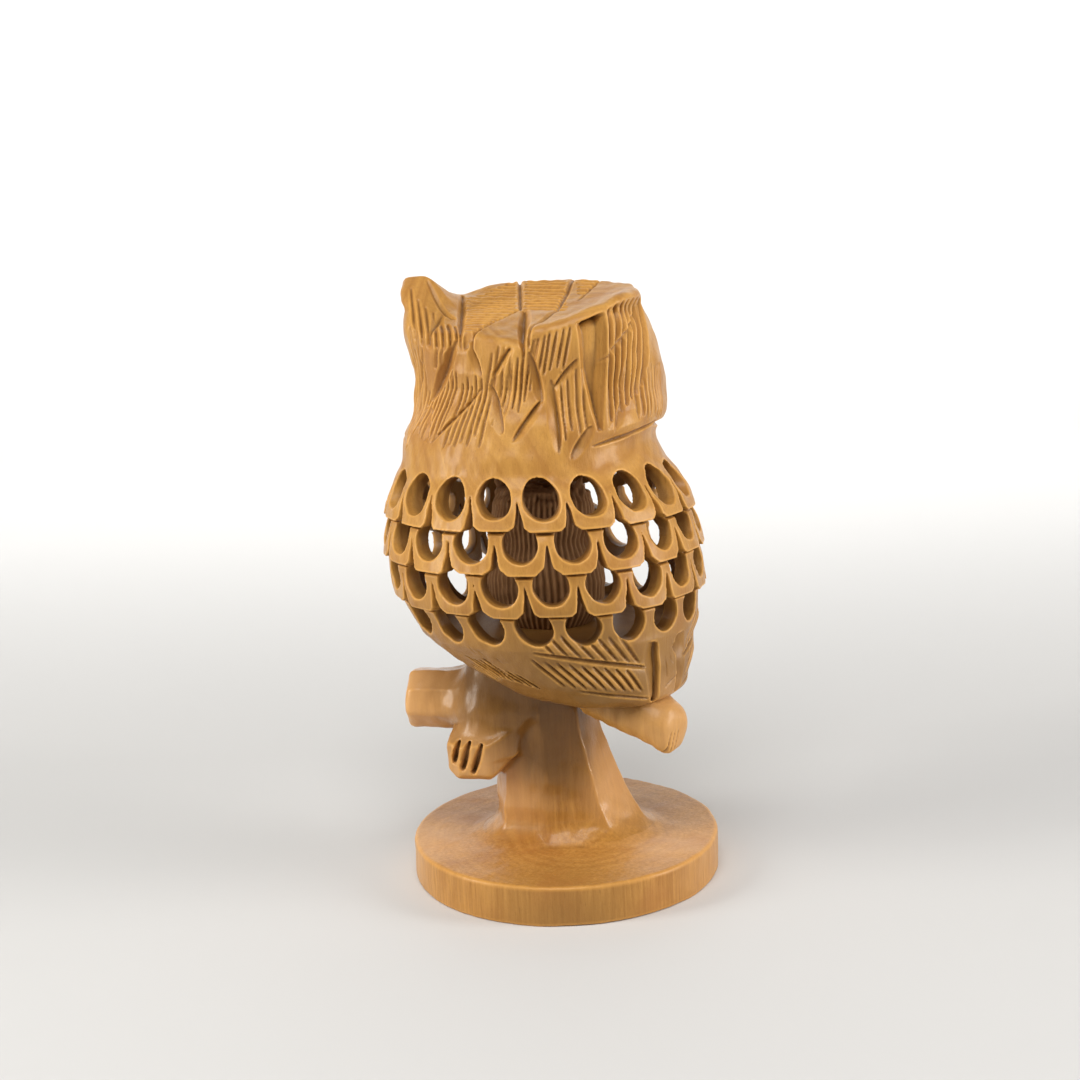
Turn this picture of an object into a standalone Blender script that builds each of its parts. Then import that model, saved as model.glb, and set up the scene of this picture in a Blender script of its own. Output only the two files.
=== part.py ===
"""Carved wooden owl on a log perch, with a young owl carved inside its pierced body.

The carving is divided at its creases into solids with a narrow gap between neighbours.
Lengths in this script are millimetres, angles are degrees counted from +X towards +Y, and
the finished objects are in metres. The origin is the middle of the base's underside, +Z is
up. The head looks along -Y, and the tail below it points towards BODY_BACK.
"""

import math

import bmesh
import bpy
from mathutils import Matrix, Vector

MM = 0.001
GAP = 0.3  # clearance between neighbouring solids

# Finishes: colour and roughness.
GOLDEN = ((0.53, 0.31, 0.12), 0.42)
POLISHED = ((0.49, 0.26, 0.09), 0.25)
RAW = ((0.27, 0.14, 0.06), 0.75)

# Directions, in degrees.
BODY_BACK = 163.0
LOG_ANGLE = 14.0
TRUNK_WIDE = 25.0  # the trunk is broader along this direction

# Base.
BASE_HALF_WIDTH = 26.5  # along TRUNK_WIDE
BASE_HALF_DEPTH = 27.8
BASE_THICK = 6.7
BASE_BEVEL = 0.5
BASE_SIDES = 56

# Trunk: height, half width, half depth, lean along TRUNK_WIDE.
TRUNK = (
    (BASE_THICK + GAP, 14.6, 10.2, -0.5),
    (9.0, 12.6, 8.8, -0.5),
    (13.0, 11.2, 8.3, 0.5),
    (18.5, 9.9, 8.2, 1.4),
    (24.0, 8.9, 8.2, 2.4),
    (30.0, 8.6, 8.4, 3.4),
    (37.0, 8.6, 8.4, 4.0),
)
TRUNK_SIDES = 24

# Log that the owl perches on.
LOG_RADIUS = 5.0
LOG_HEIGHT = 30.0
LOG_REACH = 26.8
LOG_SIDES = 10
LOG_BEVEL = 1.1
LOG_START = 4.0  # inside the trunk, which then cuts it back

# Owl's body: height, radius, lean towards its back.
BODY = (
    (32.6, 9.6, 11.4),
    (34.0, 13.2, 9.6),
    (36.6, 16.9, 6.7),
    (39.2, 19.6, 4.3),
    (42.0, 21.8, 1.7),
    (45.0, 24.0, 0.0),
    (48.0, 25.5, -0.9),
    (51.0, 26.7, -1.7),
    (54.0, 27.15, -2.2),
    (57.0, 27.3, -2.6),
    (60.0, 27.2, -2.9),
    (63.0, 26.6, -3.1),
    (66.0, 25.6, -3.3),
    (69.0, 24.1, -3.8),
    (72.0, 22.2, -4.3),
    (75.0, 21.1, -4.8),
)

# Pierced lattice: rows of staggered holes round the body.
HOLES_ROUND = 20
HOLE_ROWS = (68.5, 61.9, 55.2, 48.5)
ROW_EDGES = (71.8, 65.2, 58.5, 51.8, 45.2)
HOLE_PHASE = 117.0  # the first row's; the second row then has a hole on each of the X and Y axes
HOLE_SIDES = 8
HOLE_RADIUS_OUT = 3.0
HOLE_RADIUS_IN = 2.95
WALL = 3.3
CEILING = ((72.3, 13.0), (72.6, 6.0))
FLOOR = ((43.9, 17.0), (43.0, 8.0))

# Head: height, half width ear to ear, half depth face to back, and its middle's x and y.
HEAD = (
    (75.0 + GAP, 20.2, 17.6, 4.2, -0.5),
    (78.0, 20.8, 17.9, 3.0, -1.5),
    (84.0, 20.8, 17.5, 2.8, -2.2),
    (88.5, 20.6, 17.2, 2.9, -1.6),
    (93.0, 19.8, 16.2, 3.2, -0.5),
    (97.0, 18.0, 14.8, 3.4, 0.5),
)
HEAD_SIDES = 40
HEAD_SQUARENESS = 2.4
CROWN_TILT = 11.5  # the crown falls away towards the back of the head
CROWN_INSET = 0.72
BROW_DROP = 2.4  # from the rim of the crown to the widest ring below it
EARS = ((8.0, 6.0, 4.0), (180.0, 3.0, 1.7))  # direction, rise, and how far it stands out
EAR_SPREAD = 38.0  # degrees of the rim on each side of an ear's tip
EAR_ON_CROWN = 0.15  # share of an ear's rise that the middle of the crown takes part in
SHOULDER_FLARE = 0.5  # share of an ear's flare below the rim
SHOULDER_SWELL = 0.7
SLOPE_BELOW = 0.6  # share of the crown's tilt in the widest ring below it

# Face.
FACE_CENTRE = (2.9, -18.6)
EYE_OFFSET = 8.4
EYE_HEIGHT = 89.0
EYE_SOCKET_RADIUS = 6.2
EYE_SOCKET_DEPTH = 1.1
EYE_RADIUS = 3.6
EYE_SET_BACK = 2.0
BEAK_HEIGHT = 84.5
BEAK_LENGTH = 8.0
BEAK_RADII = (2.6, 0.5)
BEAK_TURN = 160.0  # about X, so that its tip points down and a little forwards

# Tail.
TAIL_ROOT = (10.0, 34.8)
TAIL_TIP = (24.6, 26.4)
TAIL_HALF_WIDTHS = (7.5, 3.2)
TAIL_HALF_DEPTHS = (5.8, 2.5)
TAIL_SIDES = 12

# Wing tips that lie along the lower flanks.
WING_THICK = 0.9
WING_HEIGHTS = (36.5, 39.5, 42.5, 45.2)
WING_SPAN = 54.0  # degrees of body that each wing tip covers
WING_END = 13.8  # degrees from the middle of the back to where a wing tip ends

# Feet, one on each side of the log: rise above the toes, half width, half depth, and how far
# the leg has leant in towards the trunk there.
FOOT_ALONG = 12.2
FOOT_ASIDE = 8.4
FOOT_LOW = 19.1
FOOT = (
    (0.0, 3.5, 2.2, 1.0),
    (2.2, 5.7, 3.6, 0.2),
    (6.5, 6.1, 4.0, 0.0),
    (11.0, 5.1, 4.2, 1.8),
    (18.9, 4.5, 4.6, 4.0),
)
FOOT_SIDES = 16
FOOT_SQUARENESS = 2.8
LEG_SIDEWAYS = 0.3  # the part of the lean that is across the log
TOE_CUTS = 3
TOE_PITCH = 2.9
TOE_CUT_RISE = 3.4
TOE_CUT_SURFACE = 4.0
TOE_CUT_SIZE = (0.75, 1.6, 5.2)

# Young owl inside the cage: height, half width, half depth.
YOUNG_CENTRE = (2.3, -0.6)
YOUNG_BODY = (
    (43.0 + GAP, 6.8, 6.2),
    (45.5, 9.2, 8.4),
    (49.5, 10.3, 9.4),
    (54.0, 9.9, 9.0),
    (57.5, 8.3, 7.8),
)
YOUNG_HEAD = (
    (57.5 + GAP, 8.0, 7.4),
    (60.0, 8.9, 7.9),
    (63.5, 8.9, 7.7),
    (66.0, 7.9, 6.8),
    (67.2, 5.6, 4.8),
)
YOUNG_SIDES = 16
YOUNG_EAR_TIP = (7.8, 1.0, 68.8)
YOUNG_EAR_ROOT = (5.4, 1.0, 61.8)
YOUNG_EAR_RADII = (2.8, 0.9)  # at the root and at the tip
YOUNG_EAR_SIDES = 8


def direction(angle):
    return Vector((math.cos(math.radians(angle)), math.sin(math.radians(angle)), 0.0))


def clear_scene():
    for obj in list(bpy.data.objects):
        bpy.data.objects.remove(obj, do_unlink=True)


def make_material(name, finish):
    colour, roughness = finish
    material = bpy.data.materials.new(name)
    material.use_nodes = True
    shader = material.node_tree.nodes["Principled BSDF"]
    shader.inputs["Base Color"].default_value = (*colour, 1.0)
    shader.inputs["Roughness"].default_value = roughness
    shader.inputs["Metallic"].default_value = 0.0
    return material


def add_object(name, mesh_data, finish=None):
    """A named object from a bmesh in millimetres, with its faces pointing out.

    A solid of the carving is given its finish, and a cutter has none.
    """
    bmesh.ops.recalc_face_normals(mesh_data, faces=mesh_data.faces)
    bmesh.ops.scale(mesh_data, vec=(MM, MM, MM), verts=mesh_data.verts)
    mesh = bpy.data.meshes.new(name)
    mesh_data.to_mesh(mesh)
    mesh_data.free()
    mesh.shade_smooth()
    mesh.set_sharp_from_angle(angle=math.radians(35))
    obj = bpy.data.objects.new(name, mesh)
    bpy.context.scene.collection.objects.link(obj)
    if finish:
        mesh.materials.append(make_material(f"{name}_wood", finish))
    return obj


def as_cutter(obj):
    obj.hide_render = True
    obj.display_type = "WIRE"
    return obj


def boolean(obj, other, operation):
    modifier = obj.modifiers.new(f"{operation.lower()}_{other.name}", "BOOLEAN")
    modifier.operation = operation
    modifier.solver = "EXACT"
    modifier.object = other


def add_ring(mesh_data, points):
    return [mesh_data.verts.new(point) for point in points]


def skin(mesh_data, lower, upper):
    """Joins two rings of equal count with a band of quads."""
    count = len(lower)
    for i in range(count):
        j = (i + 1) % count
        mesh_data.faces.new((lower[i], lower[j], upper[j], upper[i]))


def loft(rings):
    """A closed solid through rings of points, capped at both ends."""
    mesh_data = bmesh.new()
    made = [add_ring(mesh_data, ring) for ring in rings]
    for lower, upper in zip(made, made[1:]):
        skin(mesh_data, lower, upper)
    mesh_data.faces.new(made[0])
    mesh_data.faces.new(made[-1])
    return mesh_data


def oval_ring(centre, height, wide, deep, sides, turn=0.0, power=2.0):
    """Points round a superellipse: power 2 is an ellipse, and more is squarer."""
    along, across = direction(turn), direction(turn + 90.0)
    middle = Vector((centre[0], centre[1], height))
    points = []
    for i in range(sides):
        t = 2.0 * math.pi * i / sides
        c, s = math.cos(t), math.sin(t)
        x = wide * math.copysign(abs(c) ** (2.0 / power), c)
        y = deep * math.copysign(abs(s) ** (2.0 / power), s)
        points.append(middle + along * x + across * y)
    return points


def interpolate(table, height):
    """The table's row at this height, straight between the rows above and below."""
    if height <= table[0][0]:
        return table[0][1:]
    for low, high in zip(table, table[1:]):
        if height <= high[0]:
            share = (height - low[0]) / (high[0] - low[0])
            return tuple(a + (b - a) * share for a, b in zip(low[1:], high[1:]))
    return table[-1][1:]


def body_point(angle, height, inset=0.0):
    """A point on the owl's body, or that far inside it."""
    radius, lean = interpolate(BODY, height)
    middle = direction(BODY_BACK) * lean
    return middle + direction(angle) * (radius - inset) + Vector((0.0, 0.0, height))


def make_base():
    rings = []
    top = BASE_THICK - BASE_BEVEL
    levels = ((0.0, BASE_BEVEL), (BASE_BEVEL, 0.0), (top, 0.0), (BASE_THICK, BASE_BEVEL))
    for height, inset in levels:
        wide, deep = BASE_HALF_WIDTH - inset, BASE_HALF_DEPTH - inset
        rings.append(oval_ring((0.0, 0.0), height, wide, deep, BASE_SIDES, TRUNK_WIDE))
    return add_object("base_disc", loft(rings), POLISHED)


def trunk_mesh(grow):
    rings = []
    for height, wide, deep, lean in TRUNK:
        middle = direction(TRUNK_WIDE) * lean
        half_sizes = (wide + grow, deep + grow)
        rings.append(oval_ring((middle.x, middle.y), height, *half_sizes, TRUNK_SIDES, TRUNK_WIDE))
    return loft(rings)


def body_hull_mesh(grow):
    """The body's outer form without its holes, grown by a clearance."""
    rings = []
    for height, radius, lean in BODY:
        middle = direction(BODY_BACK) * lean
        grown = radius + grow
        rings.append(oval_ring((middle.x, middle.y), height, grown, grown, 2 * HOLES_ROUND))
    rings[0] = [point - Vector((0.0, 0.0, grow)) for point in rings[0]]
    return loft(rings)


def log_mesh(grow):
    """A faceted log whose end is bevelled, from the trunk's axis to its sawn end."""
    along, across = direction(LOG_ANGLE), direction(LOG_ANGLE + 90.0)
    rings = []
    for reach, radius in (
        (LOG_START, LOG_RADIUS),
        (LOG_REACH - LOG_BEVEL + grow, LOG_RADIUS),
        (LOG_REACH + grow, LOG_RADIUS - LOG_BEVEL),
    ):
        ring = []
        for i in range(LOG_SIDES):
            t = 2.0 * math.pi * (i + 0.5) / LOG_SIDES
            offset = across * math.cos(t) + Vector((0.0, 0.0, math.sin(t)))
            ring.append(along * reach + offset * (radius + grow) + Vector((0.0, 0.0, LOG_HEIGHT)))
        rings.append(ring)
    return loft(rings)


def lattice_columns(mesh_data, inset, height, shift):
    """A ring of points, two to each hole, so that staggered rows share them."""
    step = 360.0 / (2 * HOLES_ROUND)
    return [
        mesh_data.verts.new(body_point(HOLE_PHASE + shift + step * i, height, inset))
        for i in range(2 * HOLES_ROUND)
    ]


def hole_ring(mesh_data, angle, height, inset, radius):
    """Points round a hole, lying on the body or on the cavity."""
    ring = []
    for i in range(HOLE_SIDES):
        t = 2.0 * math.pi * i / HOLE_SIDES
        level = height + radius * math.sin(t)
        wall_radius = interpolate(BODY, level)[0] - inset
        swing = math.degrees(radius * math.cos(t) / wall_radius)
        ring.append(mesh_data.verts.new(body_point(angle + swing, level, inset)))
    return ring


def lattice_surface(mesh_data, inset, hole_radius):
    """One side of the lattice: the edge rings of its rows, and the rings of its holes."""
    half = 180.0 / HOLES_ROUND
    edges = [lattice_columns(mesh_data, inset, height, 0.0) for height in ROW_EDGES]
    holes = []
    for row, height in enumerate(HOLE_ROWS):
        sides = lattice_columns(mesh_data, inset, height, 0.0)
        above, below = edges[row], edges[row + 1]
        shift = row % 2
        for k in range(HOLES_ROUND):
            middle = 2 * k + shift
            left, right = (middle - 1) % len(sides), (middle + 1) % len(sides)
            middle %= len(sides)
            ring = hole_ring(mesh_data, HOLE_PHASE + half * (2 * k + shift), height, inset, hole_radius)
            cell = (
                sides[right], above[right], above[middle], above[left],
                sides[left], below[left], below[middle], below[right],
            )
            for i in range(HOLE_SIDES):
                j = (i + 1) % HOLE_SIDES
                mesh_data.faces.new((cell[i], cell[j], ring[j], ring[i]))
            holes.append(ring)
    unused = [vert for vert in mesh_data.verts if not vert.link_faces]
    bmesh.ops.delete(mesh_data, geom=unused, context="VERTS")
    return edges, holes


def make_cage():
    """The owl's body: a wall pierced by rows of holes round an egg-shaped cavity."""
    mesh_data = bmesh.new()
    outer_edges, outer_holes = lattice_surface(mesh_data, 0.0, HOLE_RADIUS_OUT)
    inner_edges, inner_holes = lattice_surface(mesh_data, WALL, HOLE_RADIUS_IN)
    for outer, inner in zip(outer_holes, inner_holes):
        skin(mesh_data, outer, inner)

    step = 360.0 / (2 * HOLES_ROUND)
    angles = [HOLE_PHASE + step * i for i in range(2 * HOLES_ROUND)]
    above = [row[0] for row in BODY if row[0] > ROW_EDGES[0]]
    below = [row[0] for row in reversed(BODY) if row[0] < ROW_EDGES[-1]]
    for start, heights in ((outer_edges[0], above), (outer_edges[-1], below)):
        last = start
        for height in heights:
            ring = [mesh_data.verts.new(body_point(angle, height)) for angle in angles]
            skin(mesh_data, last, ring)
            last = ring
        mesh_data.faces.new(last)
    for start, levels in ((inner_edges[0], CEILING), (inner_edges[-1], FLOOR)):
        last = start
        for height, radius in levels:
            middle = direction(BODY_BACK) * interpolate(BODY, height)[1]
            lift = Vector((0.0, 0.0, height))
            ring = [mesh_data.verts.new(middle + direction(angle) * radius + lift) for angle in angles]
            skin(mesh_data, last, ring)
            last = ring
        mesh_data.faces.new(last)
    return add_object("owl_body_cage", mesh_data, GOLDEN)


def ear_share(angle, ear_angle):
    """1 at an ear's tip, falling straight to 0 at EAR_SPREAD on either side."""
    away = abs((angle - ear_angle + 180.0) % 360.0 - 180.0)
    return max(0.0, 1.0 - away / EAR_SPREAD)


def crown_rings():
    """The shoulder, the rim and the middle of the crown; the rim rises into two ears."""
    height, wide, deep, x, y = HEAD[-1]
    slope = math.tan(math.radians(CROWN_TILT))
    flat = oval_ring((x, y), height, wide, deep, HEAD_SIDES, power=HEAD_SQUARENESS)
    shoulder, rim, crown = [], [], []
    for i, point in enumerate(flat):
        angle = 360.0 * i / HEAD_SIDES
        rise = sum(ear_share(angle, ear[0]) * ear[1] for ear in EARS)
        flare = sum(ear_share(angle, ear[0]) * ear[2] for ear in EARS)
        level = Vector((point.x, point.y, height - slope * (point.y - y)))
        out = direction(angle)
        swell = flare * SHOULDER_FLARE + SHOULDER_SWELL
        shoulder.append(level + out * swell - Vector((0.0, 0.0, BROW_DROP)))
        rim.append(level + out * flare + Vector((0.0, 0.0, rise)))
        inner = Vector((x, y, height)) + (level - Vector((x, y, height))) * CROWN_INSET
        crown.append(inner + Vector((0.0, 0.0, rise * EAR_ON_CROWN)))
    return [shoulder, rim, crown]


def make_head():
    """The head: a squarish form with a sloping crown, two ear tufts, eyes and a beak."""
    rings = [
        oval_ring((x, y), height, wide, deep, HEAD_SIDES, power=HEAD_SQUARENESS)
        for height, wide, deep, x, y in HEAD[:-1]
    ]
    slope = math.tan(math.radians(CROWN_TILT))
    for point in rings[-1]:
        point.z -= SLOPE_BELOW * slope * (point.y - HEAD[-2][4])
    head = add_object("owl_head", loft(rings + crown_rings()), GOLDEN)

    middle, face = FACE_CENTRE
    upright = Matrix.Rotation(math.radians(90), 4, "X")
    socket_length = 4.0
    for side, sign in (("left", 1.0), ("right", -1.0)):
        eye_x = middle + sign * EYE_OFFSET
        socket = bmesh.new()
        socket_y = face + EYE_SOCKET_DEPTH - socket_length / 2.0
        bmesh.ops.create_cone(
            socket,
            cap_ends=True,
            segments=20,
            depth=socket_length,
            radius1=EYE_SOCKET_RADIUS,
            radius2=EYE_SOCKET_RADIUS,
            matrix=Matrix.Translation((eye_x, socket_y, EYE_HEIGHT)) @ upright,
        )
        boolean(head, as_cutter(add_object(f"eye_socket_{side}", socket)), "DIFFERENCE")
        eye = bmesh.new()
        place = Matrix.Translation((eye_x, face + EYE_SET_BACK, EYE_HEIGHT))
        bmesh.ops.create_icosphere(eye, subdivisions=2, radius=EYE_RADIUS, matrix=place)
        boolean(head, as_cutter(add_object(f"eye_{side}", eye)), "UNION")

    beak = bmesh.new()
    turn = Matrix.Rotation(math.radians(BEAK_TURN), 4, "X")
    bmesh.ops.create_cone(
        beak,
        cap_ends=True,
        segments=10,
        depth=BEAK_LENGTH,
        radius1=BEAK_RADII[0],
        radius2=BEAK_RADII[1],
        matrix=Matrix.Translation((middle, face, BEAK_HEIGHT)) @ turn,
    )
    boolean(head, as_cutter(add_object("beak", beak)), "UNION")
    return head


def make_wing(name, start, end):
    """A wing tip: a curved plate lying on the flank, with a gap beneath it."""
    steps = 8
    mesh_data = bmesh.new()
    sheets = []
    for lift in (GAP, GAP + WING_THICK):
        sheets.append(
            [
                [
                    mesh_data.verts.new(body_point(start + (end - start) * i / steps, height, -lift))
                    for i in range(steps + 1)
                ]
                for height in WING_HEIGHTS
            ]
        )
    inner, outer = sheets
    for sheet in sheets:
        for low, high in zip(sheet, sheet[1:]):
            for i in range(steps):
                mesh_data.faces.new((low[i], low[i + 1], high[i + 1], high[i]))
    for low, high in ((inner[0], outer[0]), (inner[-1], outer[-1])):
        for i in range(steps):
            mesh_data.faces.new((low[i], low[i + 1], high[i + 1], high[i]))
    for column in (0, steps):
        for row in range(len(WING_HEIGHTS) - 1):
            mesh_data.faces.new(
                (inner[row][column], inner[row + 1][column], outer[row + 1][column], outer[row][column])
            )
    return add_object(name, mesh_data, GOLDEN)


def make_tail(neighbours):
    """A wedge of tail feathers that runs down and back from under the body."""
    along, across = direction(BODY_BACK), direction(BODY_BACK + 90.0)
    rings = []
    for share in (0.0, 0.35, 0.7, 1.0):
        reach, height, wide, deep = (
            start + (end - start) * share
            for start, end in zip(
                (*TAIL_ROOT, TAIL_HALF_WIDTHS[0], TAIL_HALF_DEPTHS[0]),
                (*TAIL_TIP, TAIL_HALF_WIDTHS[1], TAIL_HALF_DEPTHS[1]),
            )
        )
        ring = []
        for i in range(TAIL_SIDES):
            t = 2.0 * math.pi * i / TAIL_SIDES
            level = Vector((0.0, 0.0, height + deep * math.sin(t)))
            ring.append(along * reach + across * (wide * math.cos(t)) + level)
        rings.append(ring)
    tail = add_object("tail", loft(rings), GOLDEN)
    for neighbour in neighbours:
        boolean(tail, neighbour, "DIFFERENCE")
    return tail


def make_foot(name, side, neighbours):
    """A leg and foot on one side of the log, with grooves that part the toes."""
    along, across = direction(LOG_ANGLE), direction(LOG_ANGLE + 90.0) * side
    middle = along * FOOT_ALONG + across * FOOT_ASIDE
    rings = []
    for rise, wide, deep, lean in FOOT:
        centre = middle - (along + across * LEG_SIDEWAYS) * lean
        spot = (centre.x, centre.y)
        level = FOOT_LOW + rise
        rings.append(oval_ring(spot, level, wide, deep, FOOT_SIDES, LOG_ANGLE, FOOT_SQUARENESS))
    foot = add_object(name, loft(rings), GOLDEN)

    cuts = bmesh.new()
    turn = Matrix.Rotation(math.radians(LOG_ANGLE), 4, "Z")
    shape = turn @ Matrix.Diagonal((*TOE_CUT_SIZE, 1.0))
    for i in range(TOE_CUTS):
        offset = (i - (TOE_CUTS - 1) / 2.0) * TOE_PITCH
        centre = middle + along * offset + across * TOE_CUT_SURFACE
        place = Matrix.Translation((centre.x, centre.y, FOOT_LOW + TOE_CUT_RISE)) @ shape
        bmesh.ops.create_cone(
            cuts, cap_ends=True, segments=4, depth=1.6, radius1=1.0, radius2=0.6, matrix=place
        )
    boolean(foot, as_cutter(add_object(f"{name}_toe_cuts", cuts)), "DIFFERENCE")
    for neighbour in neighbours:
        boolean(foot, neighbour, "DIFFERENCE")
    return foot


def young_rings(table):
    """Rings round the young owl's own axis."""
    return [oval_ring(YOUNG_CENTRE, height, wide, deep, YOUNG_SIDES) for height, wide, deep in table]


def make_young_owl():
    """The young owl that stands on the floor of the cavity."""
    add_object("young_owl_body", loft(young_rings(YOUNG_BODY)), RAW)
    head = add_object("young_owl_head", loft(young_rings(YOUNG_HEAD)), RAW)
    for side, sign in (("left", 1.0), ("right", -1.0)):
        rings = []
        for (x, y, z), radius in zip((YOUNG_EAR_ROOT, YOUNG_EAR_TIP), YOUNG_EAR_RADII):
            spot = (YOUNG_CENTRE[0] + sign * x, YOUNG_CENTRE[1] + y)
            rings.append(oval_ring(spot, z, radius, radius, YOUNG_EAR_SIDES))
        boolean(head, as_cutter(add_object(f"young_ear_{side}", loft(rings))), "UNION")


def main():
    clear_scene()
    body_clearance = as_cutter(add_object("body_clearance", body_hull_mesh(GAP)))
    trunk_clearance = as_cutter(add_object("trunk_clearance", trunk_mesh(GAP)))
    log_clearance = as_cutter(add_object("log_clearance", log_mesh(GAP)))

    make_base()
    trunk = add_object("tree_stump", trunk_mesh(0.0), POLISHED)
    boolean(trunk, body_clearance, "DIFFERENCE")
    log = add_object("perch_log", log_mesh(0.0), POLISHED)
    boolean(log, trunk_clearance, "DIFFERENCE")
    boolean(log, body_clearance, "DIFFERENCE")
    neighbours = (body_clearance, trunk_clearance, log_clearance)
    make_foot("left_foot", 1.0, neighbours)
    make_foot("right_foot", -1.0, neighbours)
    make_tail((body_clearance, trunk_clearance))
    make_cage()
    make_wing("left_wing", BODY_BACK - WING_END - WING_SPAN, BODY_BACK - WING_END)
    make_wing("right_wing", BODY_BACK + WING_END, BODY_BACK + WING_END + WING_SPAN)
    make_head()
    make_young_owl()


main()
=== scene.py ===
"""The looks of the carved owl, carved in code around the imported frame.

Each piece is a field of distances in millimetres, negative inside the wood, that starts as the
plain form of the CAD model. Gouge cuts are drawn on unrolled sheets and wrapped onto it, and the
surface is then meshed. Angles are degrees counted from +X towards +Y.
"""

import math

import bmesh
import bpy
import numpy as np
import openvdb
from mathutils import Matrix, Vector


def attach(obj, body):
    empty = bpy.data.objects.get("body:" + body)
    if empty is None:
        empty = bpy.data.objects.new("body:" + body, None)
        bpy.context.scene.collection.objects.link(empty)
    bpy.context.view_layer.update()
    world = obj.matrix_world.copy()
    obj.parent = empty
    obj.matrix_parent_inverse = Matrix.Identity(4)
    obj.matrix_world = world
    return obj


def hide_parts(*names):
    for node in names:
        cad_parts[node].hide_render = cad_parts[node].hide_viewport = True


MM = 0.001
RANDOM = np.random.default_rng(11)

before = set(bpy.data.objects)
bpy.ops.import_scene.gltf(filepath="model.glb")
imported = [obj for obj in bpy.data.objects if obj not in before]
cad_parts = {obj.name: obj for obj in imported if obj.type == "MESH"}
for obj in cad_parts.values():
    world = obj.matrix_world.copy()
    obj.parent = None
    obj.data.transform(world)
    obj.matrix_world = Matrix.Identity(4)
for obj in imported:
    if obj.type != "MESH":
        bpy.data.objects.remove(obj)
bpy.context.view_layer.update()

# ---- sizes shared with the CAD model

BODY_BACK = 163.0
TRUNK_WIDE = 25.0
LOG_ANGLE = 14.0

# Trunk: height, half width, half depth, lean along TRUNK_WIDE.
TRUNK = (
    (7.0, 14.6, 10.2, -0.5),
    (9.0, 12.6, 8.8, -0.5),
    (13.0, 11.2, 8.3, 0.5),
    (18.5, 9.9, 8.2, 1.4),
    (24.0, 8.9, 8.2, 2.4),
    (30.0, 8.6, 8.4, 3.4),
    (37.0, 8.6, 8.4, 4.0),
)
# Owl's body: height, radius, lean towards its back.
BODY = (
    (32.6, 9.6, 11.4),
    (34.0, 13.2, 9.6),
    (36.6, 16.9, 6.7),
    (39.2, 19.6, 4.3),
    (42.0, 21.8, 1.7),
    (45.0, 24.0, 0.0),
    (48.0, 25.5, -0.9),
    (51.0, 26.7, -1.7),
    (54.0, 27.15, -2.2),
    (57.0, 27.3, -2.6),
    (60.0, 27.2, -2.9),
    (63.0, 26.6, -3.1),
    (66.0, 25.6, -3.3),
    (69.0, 24.1, -3.8),
    (72.0, 22.2, -4.3),
    (75.0, 21.1, -4.8),
    (78.0, 19.6, -5.0),
    (81.5, 16.6, -5.0),
    (85.0, 11.0, -5.0),
)
# Head: height, half width ear to ear, half depth face to back, and its middle's x and y.
HEAD = (
    (66.0, 12.0, 10.0, 5.4, 0.8),
    (71.5, 18.0, 15.4, 4.8, 0.2),
    (75.3, 20.2, 17.4, 4.2, -0.6),
    (78.0, 20.8, 17.9, 3.0, -1.5),
    (84.0, 20.8, 17.5, 2.8, -2.2),
    (88.5, 20.6, 17.2, 2.9, -1.6),
    (93.0, 19.8, 16.2, 3.2, -0.5),
    (97.0, 18.0, 14.8, 3.4, 0.5),
)
HEAD_POWER = 2.4
HEAD_LOW = 66.5  # the head's form starts here, inside the body
BODY_HIGH = 84.0  # and the body's stops here, inside the head
NECK = 75.15  # where the head's piece meets the body's
CROWN_TILT = 11.5
# Ears: direction, rise, how far it stands out, half its spread, how far down that reaches, and
# how pointed it is.
EARS = (
    (8.0, 6.0, 3.3, 42.0, 10.0, 1.7),
    (168.0, 2.7, 1.0, 56.0, 4.0, 0.9),
)
CROWN_MIDDLE = (3.4, 0.5)
STRIATIONS_TURN = 205.0
HEAD_AXIS = (2.9, -1.0)  # the head's cuts are placed by their angle about this axis

HOLES_ROUND = 20
HOLE_PITCH = 360.0 / HOLES_ROUND
HOLE_PHASE = 117.0
HOLE_ROWS = (68.5, 61.9, 55.2, 48.5)
WALL = 3.3
CAVITY_LOW = 43.6
CAVITY_HIGH = 72.5

LOG_RADIUS = 5.0
LOG_HEIGHT = 30.0
LOG_REACH = 26.8

YOUNG_CENTRE = (2.3, -0.6)


# ---- fields and sheets


def direction(angle):
    return math.cos(math.radians(angle)), math.sin(math.radians(angle))


def turned(x, y, angle):
    """Coordinates along and across a direction."""
    c, s = direction(angle)
    return x * c + y * s, y * c - x * s


def bearing(x, y, centre=(0.0, 0.0)):
    """The direction from a centre to each point, in degrees."""
    return np.degrees(np.arctan2(y - centre[1], x - centre[0]))


def from_middle(u, v):
    """The distance from the middle, never quite 0."""
    return np.sqrt(u * u + v * v) + 1e-6


def squarish(u, v, power, least=0.0):
    """Like a radius, but level all along a square with rounded corners."""
    return (np.abs(u) ** power + np.abs(v) ** power + least) ** (1.0 / power)


def oval(u, v, wide, deep):
    """The distance from an oval of these half widths."""
    r = from_middle(u, v)
    return r - r / (np.sqrt((u / wide) ** 2 + (v / deep) ** 2) + 1e-6)


def unit(value):
    return np.clip(value, 0.0, 1.0)


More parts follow.
